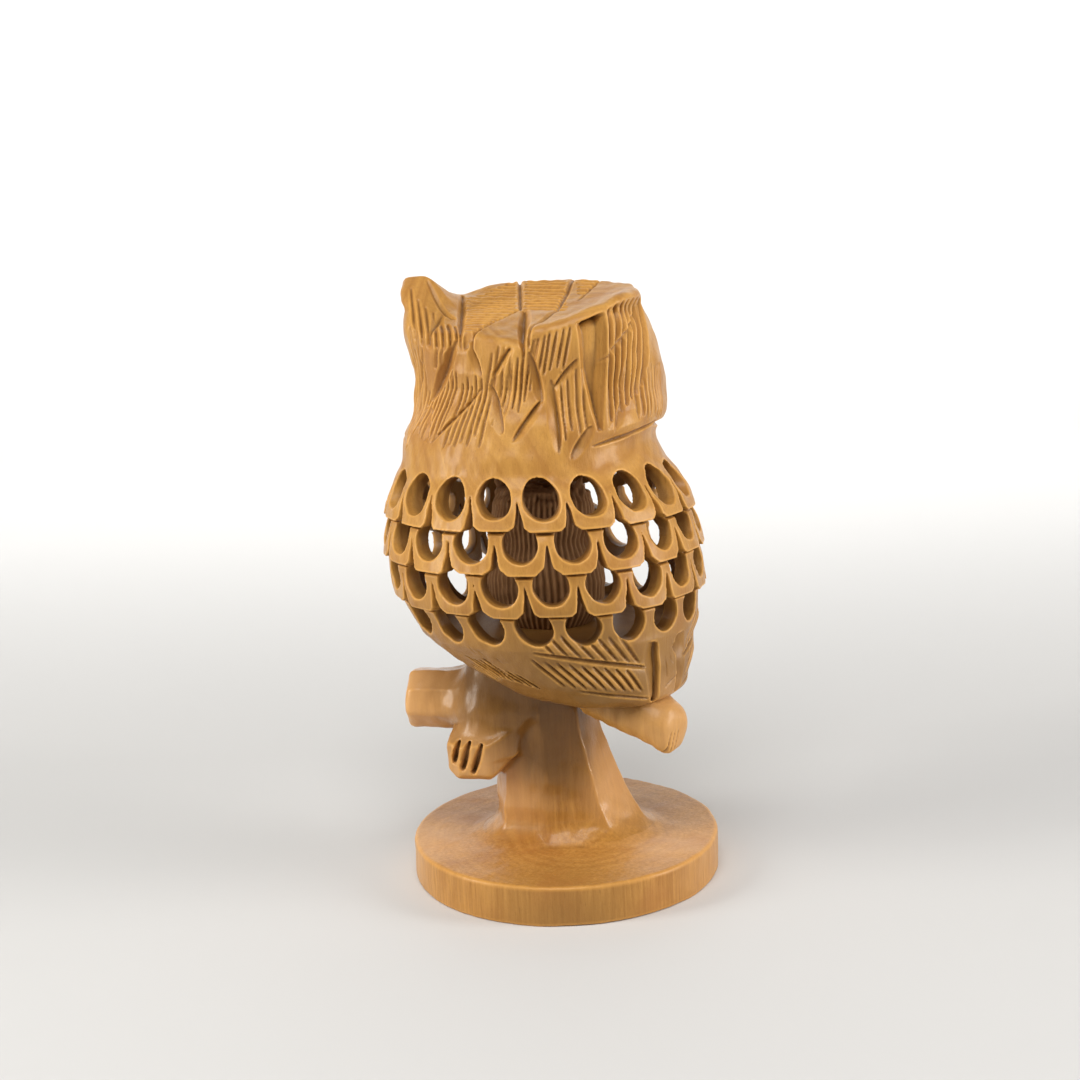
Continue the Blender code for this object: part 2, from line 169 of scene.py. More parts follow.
class Block:
    """A box of sample points on one lattice, so that neighbouring blocks line up."""

    def __init__(self, low, high, step):
        self.step = step
        first = [math.floor(value / step) for value in low]
        last = [math.ceil(value / step) + 1 for value in high]
        self.low = np.array(first) * step
        axes = [np.arange(a, b, dtype=np.float32) * step for a, b in zip(first, last)]
        self.axes = axes[0][:, None, None], axes[1][None, :, None], axes[2][None, None, :]
        self.shape = tuple(len(axis) for axis in axes)

    def places(self, chosen):
        """Where the chosen samples are in the block, and their coordinates."""
        at = np.nonzero(chosen)
        return at, *(axis.ravel()[index] for axis, index in zip(self.axes, at))

    def near(self, field, reach):
        """The same for the samples within reach of a field's surface."""
        return self.places(np.abs(field) < reach)


def smooth_curve(table, column):
    """Heights and values along a smooth curve through one column of a table."""
    z = np.array([row[0] for row in table])
    value = np.array([row[column] for row in table])
    slope = np.gradient(value, z)
    fine = np.linspace(z[0], z[-1], 800)
    i = np.clip(np.searchsorted(z, fine, side="right") - 1, 0, len(z) - 2)
    width = z[i + 1] - z[i]
    t = (fine - z[i]) / width
    curve = (2 * t**3 - 3 * t**2 + 1) * value[i] + (t**3 - 2 * t**2 + t) * width * slope[i]
    curve += (3 * t**2 - 2 * t**3) * value[i + 1] + (t**3 - t**2) * width * slope[i + 1]
    return fine, curve


def lookup(table, column, z):
    fine, curve = smooth_curve(table, column)
    return np.interp(z, fine, curve).astype(np.float32)


def slope_of(table, column, z):
    fine, curve = smooth_curve(table, column)
    return np.interp(z, fine, np.gradient(curve, fine)).astype(np.float32)


def join(a, b, blend):
    """The union of two fields, with a fillet between them."""
    mix = unit(0.5 + 0.5 * (b - a) / blend)
    return b + (a - b) * mix - blend * mix * (1.0 - mix)


def meet(a, b, blend):
    """What two fields share, with its edge rounded."""
    return -join(-a, -b, blend)


def ease(low, high, value):
    t = unit((value - low) / (high - low))
    return t * t * (3.0 - 2.0 * t)


def wander(x, y, z, size, seed=0):
    """A smooth random waviness between about -1 and 1 with features of that size."""
    chance = np.random.default_rng(seed)
    waves = 5
    total = 0.0
    for _ in range(waves):
        heading = chance.normal(size=3)
        heading *= 2.0 * math.pi / (size * np.linalg.norm(heading)) * chance.uniform(0.7, 1.4)
        phase = chance.uniform(0.0, 2.0 * math.pi)
        total = total + np.sin(heading[0] * x + heading[1] * y + heading[2] * z + phase)
    return total / math.sqrt(waves)


def knife_marks(x, y, z):
    """The slight unevenness that a knife leaves all over."""
    return 0.11 * wander(x, y, z, 8.0, 1) + 0.045 * wander(x, y, z, 2.8, 2)


def between(values, places):
    """The values at places that are counted in samples, straight between the samples."""
    base, share = [], []
    for place, count in zip(places, values.shape):
        place = np.clip(place, 0.0, count - 1.001)
        base.append(place.astype(np.int32))
        share.append((place - base[-1]).astype(np.float32))

    def blend(axis, corner):
        if axis < 0:
            return values[tuple(first + side for first, side in zip(base, corner))]
        low, high = blend(axis - 1, (0, *corner)), blend(axis - 1, (1, *corner))
        return low * (1.0 - share[axis]) + high * share[axis]

    return blend(values.ndim - 1, ())


class Sheet:
    """A sheet of depths wrapped round an axis: along it by angle, and up it by height."""

    STEP = 0.08
    START = -90.0

    def __init__(self, radius, low, high):
        self.radius = radius
        self.low = low
        columns = int(2.0 * math.pi * radius / self.STEP)
        rows = int((high - low) / self.STEP) + 1
        self.u = (np.arange(columns, dtype=np.float32) * self.STEP)[:, None]
        self.v = (low + np.arange(rows, dtype=np.float32) * self.STEP)[None, :]
        self.depth = np.zeros((columns, rows), np.float32)
        self.base = np.zeros((columns, rows), np.float32)

    def along(self, angle):
        """Millimetres along the sheet at this angle."""
        return math.radians((angle - self.START) % 360.0) * self.radius

    def window(self, u, v, reach):
        """The part of the sheet round some points."""
        parts = []
        for values, origin, count in zip((u, v), (0.0, self.low), self.depth.shape):
            first = int((min(values) - reach - origin) / self.STEP)
            last = int((max(values) + reach - origin) / self.STEP) + 2
            parts.append(slice(*np.clip((first, last), 0, count)))
        return tuple(parts)

    def cut(self, start, end, width, depth, lean=0.0, tip=0.5):
        """A gouge cut between two points, each an angle and a height.

        lean moves its deepest line to one side (-1 to 1), and tip is how slowly it narrows to its
        ends.
        """
        u = [self.along(start[0]), self.along(end[0])]
        v = [start[1], end[1]]
        box = self.window(u, v, width)
        length = math.hypot(u[1] - u[0], v[1] - v[0]) + 1e-6
        du, dv = (u[1] - u[0]) / length, (v[1] - v[0]) / length
        pu, pv = self.u[box[0]] - u[0], self.v[:, box[1]] - v[0]
        t = unit((pu * du + pv * dv) / length)
        profile = unit(4.0 * t * (1.0 - t)) ** tip
        s = (pu * dv - pv * du) / np.maximum(0.5 * width * profile, 1e-3)
        rise = np.where(s > lean, (s - lean) / (1.0 - lean), (lean - s) / (1.0 + lean))
        carved = depth * profile * unit(1.0 - rise)
        self.depth[box] = np.maximum(self.depth[box], carved)

    def recess(self, corners, depth, wall):
        """Sinks a convex patch, given by its corners clockwise as angles and heights."""
        points = [(self.along(angle), height) for angle, height in corners]
        box = self.window([p[0] for p in points], [p[1] for p in points], 1.0)
        within = np.full((box[0].stop - box[0].start, box[1].stop - box[1].start), 9.0, np.float32)
        for (u0, v0), (u1, v1) in zip(points, points[1:] + points[:1]):
            length = math.hypot(u1 - u0, v1 - v0)
            across = (self.u[box[0]] - u0) * (v1 - v0) - (self.v[:, box[1]] - v0) * (u1 - u0)
            within = np.minimum(within, across / length)
        self.base[box] = np.maximum(self.base[box], depth * unit(within / wall))

    def read(self, angle, z, values=None):
        """Depths (or the values given) at angles and heights, straight between the samples."""
        values = self.depth if values is None else values
        u = np.radians((angle - self.START) % 360.0) * (self.radius / self.STEP)
        return between(values, (u, (z - self.low) / self.STEP))


# ---- the owl's outer form


def body_axis(z):
    lean = lookup(BODY, 2, z)
    x, y = direction(BODY_BACK)
    return lean * x, lean * y


def body_form(x, y, z):
    """The owl's body before it is pierced; above the neck it draws in under the head."""
    cx, cy = body_axis(z)
    dx, dy = x - cx, y - cy
    r = from_middle(dx, dy)
    back = direction(BODY_BACK)
    swing = (dx * back[0] + dy * back[1]) / r
    rise = slope_of(BODY, 1, z) + slope_of(BODY, 2, z) * swing
    side = (r - lookup(BODY, 1, z)) / np.sqrt(1.0 + rise * rise)
    return meet(side, BODY[0][0] - z, 1.6)


def crown_plan(x, y):
    """Places on the crown: along its striations, and square to them towards the left brow."""
    return turned(x - CROWN_MIDDLE[0], y - CROWN_MIDDLE[1], STRIATIONS_TURN)


def crown_level(y):
    """The crown's plane, which falls away towards the back and is highest over the brows."""
    fall = math.tan(math.radians(CROWN_TILT)) * (y - CROWN_MIDDLE[1])
    return HEAD[-1][0] - fall + 0.9 * ease(4.0, 14.0, CROWN_MIDDLE[1] - y)


def crown_height(x, y):
    """The crown with its ears and the flat facet that the carver left at its back."""
    dx, dy = (x - CROWN_MIDDLE[0]) / HEAD[-1][1], (y - CROWN_MIDDLE[1]) / HEAD[-1][2]
    rise = ears_at(x, y)[0] * ease(0.58, 1.0, squarish(dx, dy, HEAD_POWER))
    a, b = crown_plan(x, y)
    facet = 0.20 * np.clip(0.834 * (a + 10.2) - 0.552 * (b + 15.4), 0.0, 12.0)
    return crown_level(y) + rise - facet * (1.0 - ease(-0.7, 0.4, a))


def ears_at(x, y):
    """How much the ears raise the crown's rim and widen it below, and how far down."""
    angle = bearing(x, y, CROWN_MIDDLE)
    rise, flare, depth = 0.0, 0.0, 3.0
    for ear, up, out, spread, reach, point in EARS:
        away = np.abs((angle - ear + 180.0) % 360.0 - 180.0)
        near = unit(1.0 - away / spread)
        near = (0.6 * near + 0.4 * ease(0.0, 1.0, near)) ** point
        rise = rise + near * up
        flare = flare + near * out
        depth = depth + near * reach
    return rise, flare, depth


def head_form(x, y, z):
    """The head with its crown and ears, before the feather cuts."""
    wide, deep = lookup(HEAD, 1, z), lookup(HEAD, 2, z)
    cx, cy = lookup(HEAD, 3, z), lookup(HEAD, 4, z)
    dx, dy = x - cx, y - cy
    r = from_middle(dx, dy)
    ring = squarish(dx / wide, dy / deep, HEAD_POWER)
    height = crown_height(x, y)
    _, flare, depth = ears_at(x, y)
    above = z - height
    side = r - r / (ring + 1e-6) - flare * unit((above + 3.0 + depth) / (1.0 + depth))
    side = side - 0.35 * ease(-8.0, -2.0, above)
    return np.maximum(meet(side, above * 0.95, 1.5), HEAD_LOW - z)


def owl_form(block):
    """The body and the head as one form, on a block's samples."""
    x, y, z = block.axes
    field = body_form(x, y, z)
    high = int(np.searchsorted(z.ravel(), 66.0))
    upper = z[:, :, high:]
    head = head_form(x, y, upper)
    # The crease at the neck is soft under the face and at the back, and sharp at the sides.
    ahead = np.abs(y - HEAD_AXIS[1]) / (np.hypot(x - HEAD_AXIS[0], y - HEAD_AXIS[1]) + 1e-6)
    body = np.maximum(field[:, :, high:], upper - BODY_HIGH)
    field[:, :, high:] = join(body, head, 1.2 + 5.5 * ahead * ahead)
    return field


# ---- cuts on the head


def head_cuts():
    """The feathers of the head, as cuts at angles about HEAD_AXIS and at heights."""
    sheet = Sheet(19.5, 70.0, 104.0)
    # The panel below each ear is set back, with a deeper hollow along its border.
    border = ((143, 78.0), (137, 88.0), (134.5, 97.0), (151, 98.5), (150, 88.0), (145.5, 78.0))
    sheet.recess(border, 1.8, 1.3)
    sheet.recess(((148, 78.0), (150, 98.5), (190, 98.5), (170, 79.0)), 0.9, 2.2)
    sheet.recess(((6, 79.0), (-12, 98.5), (26, 98.5), (28, 78.0)), 0.9, 2.2)

    def grooves(low_angle, high_angle, top, bottom, pitch, slant, depth, ragged=1.2, width=0.82):
        """Nearly upright grooves side by side.

        top, bottom and slant are the heights and the lean in degrees at the first and the last.
        """
        count = max(1, int(round(abs(high_angle - low_angle) / pitch)))
        for i in range(count + 1):
            share = i / count
            angle = low_angle + (high_angle - low_angle) * share + RANDOM.uniform(-0.4, 0.4)
            upper = np.interp(share, (0.0, 1.0), top) + RANDOM.uniform(-ragged, ragged)
            lower = np.interp(share, (0.0, 1.0), bottom) + RANDOM.uniform(-ragged, ragged)
            lean = np.interp(share, (0.0, 1.0), slant)
            sheet.cut((angle, upper), (angle + lean, lower), width, depth * 1.2, tip=0.22)

    # The back of the head, from the owl's left ear to the hollow beside its right ear.
    grooves(34.0, 47.0, (92.0, 92.0), (78.0, 76.5), 3.4, (-6.0, -6.0), 0.40)
    grooves(48.0, 69.0, (84.0, 88.5), (77.5, 77.5), 3.2, (-4.0, -4.0), 0.44)
    grooves(60.0, 70.0, (93.0, 92.0), (88.5, 86.5), 3.0, (-5.0, -5.0), 0.36, 0.6)
    grooves(73.0, 92.0, (87.0, 86.0), (77.0, 77.0), 3.1, (-3.0, -3.0), 0.44)
    grooves(93.0, 104.0, (92.0, 93.0), (84.0, 80.0), 3.2, (-6.0, -6.0), 0.36)
    grooves(98.0, 116.0, (87.5, 92.0), (79.0, 84.0), 3.2, (-4.0, -4.0), 0.42)
    grooves(112.0, 133.0, (93.0, 95.5), (87.0, 88.0), 3.0, (-4.0, -4.0), 0.44, 0.8)
    grooves(128.0, 138.0, (87.0, 88.0), (77.5, 78.0), 3.2, (0.0, 0.0), 0.40, 0.8)
    # The panel below the right ear, and the cheek in front of it.
    grooves(154.0, 188.0, (98.5, 98.0), (79.0, 84.0), 5.6, (-3.0, -16.0), 0.80, 0.5, 1.5)
    grooves(169.0, 190.0, (88.0, 87.0), (78.8, 78.4), 3.0, (-2.0, 0.0), 0.36, 0.7)
    # The same on the left side, which mirrors it.
    grooves(22.0, -12.0, (98.0, 98.0), (79.0, 84.0), 5.6, (3.0, 16.0), 0.75, 0.5, 1.4)
    grooves(7.0, -14.0, (88.0, 87.0), (78.8, 78.4), 3.0, (2.0, 0.0), 0.34, 0.7)

    leaves = (
        # start, end, width, depth, lean
        ((72, 92.9), (50, 82.6), 2.8, 1.35, 0.5),
        ((78, 92.2), (85, 86.8), 1.7, 0.9, -0.6),
        ((106, 92.4), (92, 86.9), 1.6, 0.9, 0.5),
        ((37, 95.5), (37, 90.2), 1.0, 0.5, 0.2),
        ((47, 90.5), (35, 82.6), 1.0, 0.6, 0.3),
        ((54, 86.0), (40, 74.4), 0.9, 0.6, 0.3),
        ((52, 82.2), (58, 76.4), 1.5, 0.7, -0.4),
        ((86, 85.6), (61, 76.4), 1.0, 0.8, 0.3),
        ((89, 86.0), (99, 78.2), 2.4, 1.0, -0.6),
        ((112, 91.0), (118, 82.6), 2.2, 1.05, -0.7),
        ((119, 83.4), (104, 77.0), 1.7, 0.9, 0.6),
        ((136, 89.6), (123, 84.2), 1.4, 0.85, 0.5),
        ((141, 79.0), (130, 73.9), 1.9, 0.9, 0.6),
        ((179, 95.6), (147, 88.6), 1.5, 0.95, 0.6),
        ((164, 89.0), (160, 82.0), 2.0, 0.6, 0.3),
        ((162, 84.0), (152, 77.6), 1.6, 0.6, 0.2),
        ((123, 86.5), (124, 75.0), 2.4, 1.0, -0.6),
    )
    for start, end, width, depth, lean in leaves:
        sheet.cut(start, end, width, depth, lean)
    # The border below each cheek.
    for middle, side in ((0, 1), (180, -1)):
        sheet.cut((middle + side * 140, 75.8), (middle + side * 185, 78.2), 1.0, 0.8, tip=0.4)
        sheet.cut((middle + side * 184, 77.6), (middle + side * 250, 76.4), 1.6, 1.4, tip=0.4)
    sheet.depth = sheet.depth + sheet.base
    return sheet


def crown_depth(x, y):
    """Depths of the cuts on top of the crown."""
    a, b = crown_plan(x, y)
    depth = np.zeros(np.shape(a), np.float32)

    def cut(start, end, width, deep, tip):
        nonlocal depth
        length = math.dist(start, end)
        du, dv = (end[0] - start[0]) / length, (end[1] - start[1]) / length
        run = (a - start[0]) * du + (b - start[1]) * dv
        t = unit(run / length)
        side = np.abs((a - start[0]) * dv - (b - start[1]) * du)
        profile = unit(4.0 * t * (1.0 - t)) ** tip
        reach = side + np.abs(run - t * length)
        shape = unit(1.0 - reach / np.maximum(0.5 * width * profile, 1e-3))
        depth = np.maximum(depth, deep * profile * shape)

    # Striations in three fields: where they start and stop along a, and the far and near borders
    # as the places at their start and the slopes along a.
    fields = (
        ((-10.3, -1.5), (10.4, 0.735), (-15.2, 1.51), 24.0, 26, (-0.72, -0.20)),
        ((-0.4, 6.8), (16.9, -0.66), (-2.0, -0.45), 17.0, 13, (-0.66, -0.60)),
        ((8.6, 12.6), (10.6, -0.5), (1.2, 1.7), 12.0, 8, (-0.55, -0.35)),
    )
    for (left, right), (far, far_slope), (near, near_slope), top, count, slopes in fields:
        for i in range(count):
            slope = slopes[0] + (slopes[1] - slopes[0]) * i / count
            start = top - 1.62 * i + RANDOM.uniform(-0.2, 0.2)
            inside = []
            for step in range(30):
                along = left + (right - left) * step / 29
                place = start + slope * (along - left)
                if near + near_slope * (along - left) < place < far + far_slope * (along - left):
                    inside.append((along, place))
            if len(inside) > 4:
                cut(inside[RANDOM.integers(0, 2)], inside[-1 - RANDOM.integers(0, 2)], 1.2, 0.62, 0.1)
    # Feathers on the back of the left ear.
    for i in range(7):
        start = (-19.0 + 1.25 * i, 3.0 - 1.6 * i + RANDOM.uniform(-1.0, 1.0))
        cut(start, (-17.4 + 1.15 * i, -9.5 - 0.8 * i + RANDOM.uniform(-1.0, 1.0)), 0.95, 0.6, 0.2)
    cut((-16.4, 4.4), (-11.6, -3.0), 1.5, 0.8, 0.3)
    cut((-13.5, 0.5), (-16.0, -9.0), 2.0, 0.9, 0.4)
    for start, end, width, deep in (
        ((-10.9, 11.6), (-10.4, -13.2), 1.6, 1.0),
        ((-1.1, 17.4), (-0.9, -1.6), 1.2, 0.75),
        ((-0.9, -0.6), (-10.8, -16.2), 1.1, 0.75),
        ((-0.2, -1.6), (-0.4, -16.6), 2.2, 1.2),
        ((8.2, 12.2), (5.0, -5.0), 1.2, 0.7),
        ((5.2, -4.4), (-0.2, -18.0), 1.3, 0.7),
        ((12.8, 9.6), (8.4, -0.6), 0.9, 0.45),
    ):
        cut(start, end, width, deep, 0.25)
    return depth


# ---- cuts on the body


LEDGE = 0.95
ROW_WIDTHS = (0.97, 1.0, 1.0, 1.0)  # the holes' widths row by row, as shares of the usual one
TAB_DROP = 4.8  # from a hole's middle to the bottom of its tab
SOLID_BELOW = 44.6


class Lattice:
    """The pierced rows, drawn on one sheet: the openings, and the overlapping tabs' relief."""

    def __init__(self):
        self.sheet = Sheet(26.5, 40.0, 76.0)
        sheet = self.sheet
        shape = sheet.depth.shape
        self.open = np.full(shape, 3.0, np.float32)
        relief = np.zeros(shape, np.float32)
        half_pitch = math.radians(HOLE_PITCH) * sheet.radius / 2.0
        circumference = 2.0 * math.pi * sheet.radius
        line_above = np.full(shape[0], 200.0, np.float32)
        for row, height in enumerate(HOLE_ROWS):
            last = row == len(HOLE_ROWS) - 1
            phase = HOLE_PHASE + HOLE_PITCH / 2.0 * (row % 2)
            line = np.full(shape[0], height - TAB_DROP, np.float32)
            stretch = sheet.radius / float(lookup(BODY, 1, height)) * ROW_WIDTHS[row]
            for k in range(HOLES_ROUND):
                jitter = RANDOM.uniform(-1.0, 1.0, 6)
                middle = sheet.along(phase + HOLE_PITCH * k) + 0.16 * jitter[0]
                level = height + 0.18 * jitter[1]
                du = (sheet.u - middle + circumference / 2.0) % circumference - circumference / 2.0
                wide = (3.02 + 0.10 * jitter[2]) * stretch
                tall = 3.08 + 0.10 * jitter[3]
                dv = sheet.v - level
                hole = (np.sqrt((du / wide) ** 2 + (dv / tall) ** 2) - 1.0) * min(wide, tall)
                hole = meet(hole, sheet.v - line_above[:, None], 0.5)
                self.open = np.minimum(self.open, hole)
                if last:
                    continue
                flat = (2.45 + 0.30 * jitter[4]) * stretch
                edge = np.abs(du[:, 0])
                own = edge < half_pitch
                clip = np.clip(edge - flat, 0.0, 10.0) * (0.75 + 0.20 * jitter[5])
                line = np.where(own, height - TAB_DROP + clip + 0.25 * jitter[1], line)
                slit = du + half_pitch + 0.12 * jitter[0]
                apex = height + 0.6
                half = unit((apex - sheet.v) / 5.4) ** 1.25
                gap = meet(np.abs(slit) - half, sheet.v - apex, 0.3)
                gap = np.maximum(gap, (height - 6.0) - sheet.v)
                self.open = np.minimum(self.open, gap)
            if row:
                bottom = SOLID_BELOW if last else height - TAB_DROP
                reach = line_above[:, None] - sheet.v
                span = np.maximum(line_above[:, None] - bottom, 1.0)
                share = unit(reach / span)
                inside = (reach > 0.0) & (sheet.v > (bottom if last else line[:, None]))
                relief = np.where(inside, LEDGE * (1.0 - share) ** 0.8, relief)
                under = (reach > 0.0) & (reach < 0.42)
                relief = np.where(under, relief + 0.55, relief)
            line_above = line
        sheet.depth = relief


def wing_cuts(sheet, mirror):
    """A wing's midrib, its barbs and its squared-off end; mirror reflects it across the back."""

    def at(angle, height):
        return (2.0 * BODY_BACK - angle if mirror else angle), height

    side = -1.0 if mirror else 1.0
    sheet.cut(at(104.5, 44.4), at(149.5, 40.1), 0.95, 0.75, -0.5 * side, tip=0.25)
    for i in range(8):
        share = i / 7.0
        foot = at(112.5 + 34.0 * share, 43.9 - 2.8 * share)
        sheet.cut(at(108.0 + 31.0 * share, 47.6 - 1.4 * share), foot, 0.85, 0.62, tip=0.3)
    for i in range(9):
        share = i / 8.0
        head = at(102.0 + 36.5 * share, 43.3 - 2.9 * share)
        foot = at(105.5 + 37.5 * share, 38.2 - 1.8 * share)
        sheet.cut(head, foot, 1.0, 0.70, -0.4 * side, tip=0.3)
    sheet.cut(at(154.0, 44.2), at(150.2, 34.0), 3.4, 1.35, -0.85 * side, tip=0.15)
    sheet.cut(at(110.0, 37.4), at(146.0, 34.9), 0.6, 0.5, tip=0.2)


def belly_cuts():
    """The wings, the rump and the short ticks above the legs."""
    sheet = Sheet(23.5, 30.0, 50.0)
    wing_cuts(sheet, False)
    wing_cuts(sheet, True)
    rump = ((161, 41.4, 37.4), (165, 41.2, 39.6), (172, 39.2, 36.6), (169, 40.4, 38.0))
    for angle, top, bottom in rump:
        sheet.cut((angle, top), (angle + 1, bottom), 0.45, 0.25, tip=0.3)
    sheet.cut((172, 37.6), (159, 35.8), 0.6, 0.25)
    sheet.cut((167, 42.8), (174, 40.2), 1.6, 0.7, 0.4)
    for i in range(7):
        share = i / 6.0
        angle, height = 68.0 + 19.0 * share, 41.6 - 2.3 * share
        for tick in (angle, 2.0 * BODY_BACK - 180.0 - angle):
            sheet.cut((tick, height + 1.0), (tick + 2.6, height - 1.8), 0.9, 0.8, tip=0.3)
    for angle, top, bottom in ((78, 45.2, 43.5), (81, 44.6, 43.2), (86, 43.2, 41.8)):
        sheet.cut((angle, top), (angle, bottom), 0.4, 0.2)
    return sheet


# ---- from a field to a piece


def blurred(values, radius):
    """The mean over a small box round each sample."""
    for axis in range(3):
        values = np.moveaxis(values, axis, 0)
        padded = np.concatenate([values[:1]] * (radius + 1) + [values] + [values[-1:]] * radius)
        total = np.cumsum(padded, axis=0, dtype=np.float32)
        values = (total[2 * radius + 1 :] - total[: -(2 * radius + 1)]) / (2 * radius + 1)
        values = np.moveaxis(values, 0, axis)
    return values


def surface(block, field):
    """The field's surface: points in millimetres, quads, and how hollow each point lies.

    Hollowness is 0.5 on a level surface, more in a cut and less along an edge. It is worked out
    over a small and over a wide neighbourhood.
    """
    band = 2.0 * block.step
    edge = np.ones(block.shape, bool)
    edge[1:-1, 1:-1, 1:-1] = False
    field[edge] = band
    grid = openvdb.FloatGrid()
    grid.background = band
    grid.copyFromArray(np.clip(field, -band, band).astype(np.float32))
    points, quads = grid.convertToQuads(0.0)
    places = points.astype(np.float64)
    wood = unit(0.5 - field / (2.0 * block.step)).astype(np.float32)
    layers = {}
    # The hollowness layers are the masks for the painted shade in cuts and hollows and for the paler
    # edges.
    for layer, reach in (("hollow", 0.36), ("sunk", 1.5)):
        width = max(1, int(round(reach / block.step)))
        layers[layer] = between(blurred(wood, width), places.T)
    return places * block.step + block.low, quads, layers


def new_object(name, data):
    obj = bpy.data.objects.new(name, data)
    bpy.context.scene.collection.objects.link(obj)
    return obj


def make_mesh(name, points, quads, layers):
    mesh = bpy.data.meshes.new(name)
    mesh.vertices.add(len(points))
    mesh.vertices.foreach_set("co", (points * MM).astype(np.float32).ravel())
    mesh.loops.add(quads.size)
    mesh.loops.foreach_set("vertex_index", quads.astype(np.int32).ravel())
    mesh.polygons.add(len(quads))
    mesh.polygons.foreach_set("loop_start", np.arange(0, quads.size, 4, dtype=np.int32))
    for layer, values in layers.items():
        attribute = mesh.attributes.new(layer, "FLOAT", "POINT")
        attribute.data.foreach_set("value", values.astype(np.float32))
    mesh.update(calc_edges=True)
    mesh.validate()
    return mesh


def outward(points, quads):
    """The quads turned so that the closed surface's volume is positive."""
    a, b, c = points[quads[:, 0]], points[quads[:, 1]], points[quads[:, 2]]
    d = points[quads[:, 3]]
    volume = np.einsum("ij,ij->", a, np.cross(b, c)) + np.einsum("ij,ij->", a, np.cross(c, d))
    return quads if volume > 0.0 else quads[:, ::-1]


def carved_piece(name, block, field, layers=None):
    points, quads, made = surface(block, field)
    quads = outward(points, quads)
    for layer, rule in (layers or {}).items():
        made[layer] = rule(points)
    return new_object(name, make_mesh(name, points, quads, made))


def cut_flat(obj, point, normal):
    """Keeps the part of a closed piece behind a plane, and closes it with a flat face."""
    data = bmesh.new()
    data.from_mesh(obj.data)
    everything = data.verts[:] + data.edges[:] + data.faces[:]
    result = bmesh.ops.bisect_plane(
        data,
        geom=everything,
        dist=1e-8,
        plane_co=Vector(point) * MM,
        plane_no=Vector(normal),
        clear_outer=True,
    )
    rim = [item for item in result["geom_cut"] if isinstance(item, bmesh.types.BMEdge)]
    rim = [edge for edge in rim if edge.is_boundary]
    bmesh.ops.holes_fill(data, edges=rim, sides=0)
    data.to_mesh(obj.data)
    data.free()
    return obj


def cut_level(obj, height, side):
    """Keeps what is below a height where side is 1, and what is above it where side is -1."""
    return cut_flat(obj, (0.0, 0.0, height), (0.0, 0.0, side))


def twin(obj, name):
    copy = new_object(name, obj.data.copy())
    copy.data.name = name
    return copy


# ---- carving the pieces


HEAD_SHEET = head_cuts()
LATTICE = Lattice()
BELLY_SHEET = belly_cuts()


FEATHERS = 0.92  # the share of their drawn depth that the feather cuts are carved to


def feather_depth(x, y, z):
    """How deep the head's cuts go at points near its surface."""
    side = HEAD_SHEET.read(bearing(x, y, HEAD_AXIS), z)
    below = crown_height(x, y) - z
    on_top = ease(1.7, 0.7, below)
    spread = np.hypot((x - CROWN_MIDDLE[0]) / 18.5, (y - CROWN_MIDDLE[1]) / 15.3)
    top = crown_depth(x, y) * ease(1.16, 1.04, spread) * ease(3.4, 2.2, below)
    return np.maximum(side * (1.0 - on_top), top)


FACE_FRONT = -19.0
EYE_ASIDE = 8.4
EYE_HEIGHT = 89.0
EYE_RIM = 8.6
EYE_SPOKES = 26.0
EYE_RING_GAP = 1.5


def face_form(field, block):
    """Carves the owl's face into the front of the head: ringed eyes, brows and a beak."""
    at, x, y, z = block.near(field, 7.0)
    ahead = y < -8.0
    at = tuple(index[ahead] for index in at)
    x, y, z = x[ahead], y[ahead], z[ahead]
    value = field[at]
    across = x - HEAD_AXIS[0]
    aside = np.abs(across)
    for sign in (1.0, -1.0):
        u, v = across - sign * EYE_ASIDE, z - EYE_HEIGHT
        r = np.hypot(u, v)
        plane = FACE_FRONT + 0.16 * aside + 0.3
        dish = ease(EYE_RIM, 6.9, r) * 1.5
        rings = 0.30 * (0.5 + 0.5 * np.cos((r - 4.6) * 2.0 * math.pi / EYE_RING_GAP))
        rings = rings * ease(8.2, 7.0, r) * ease(3.6, 4.4, r)
        spokes = 0.22 * (0.5 + 0.5 * np.cos(np.arctan2(v, u) * EYE_SPOKES))
        spokes = spokes * ease(4.6, 5.2, r) * ease(8.4, 7.2, r)
        floor = plane + dish + rings + spokes
        value = np.where(r < EYE_RIM, np.maximum(value, (floor - y) * 0.9), value)
        ball = np.sqrt(u * u + v * v + (y - (FACE_FRONT + 3.0)) ** 2) - 4.1
        pupil = np.sqrt(u * u + v * v + (y - (FACE_FRONT - 1.6)) ** 2) - 1.5
        value = join(value, np.maximum(ball, -pupil), 0.25)
    beak_axis = np.hypot(across, (y - (FACE_FRONT + 1.4)) * 0.62)
    beak_radius = np.interp(z, (79.6, 81.0, 84.5, 89.5, 92.0), (0.1, 0.9, 2.3, 1.6, 0.2))
    beak = np.maximum(beak_axis - beak_radius, np.maximum(79.4 - z, z - 92.5))
    value = join(value, beak, 0.5)
    brow_line = 93.8 + 0.26 * aside
    brow = np.sqrt((z - brow_line) ** 2 + (y - (FACE_FRONT + 2.6 + 0.05 * aside)) ** 2) - 1.6
    brow = brow + 1.8 * ease(9.0, 14.0, aside)
    value = join(value, brow, 1.0)
    field[at] = value


def carve_head():
    block = Block((-21.0, -25.0, 73.4), (29.8, 21.5, 104.5), 0.17)
    field = owl_form(block)
    face_form(field, block)
    at, x, y, z = block.near(field, 2.4)
    field[at] += feather_depth(x, y, z) * FEATHERS + knife_marks(x, y, z)
    head = carved_piece("owl_head_carved", block, field)
    return cut_level(head, NECK, -1.0)


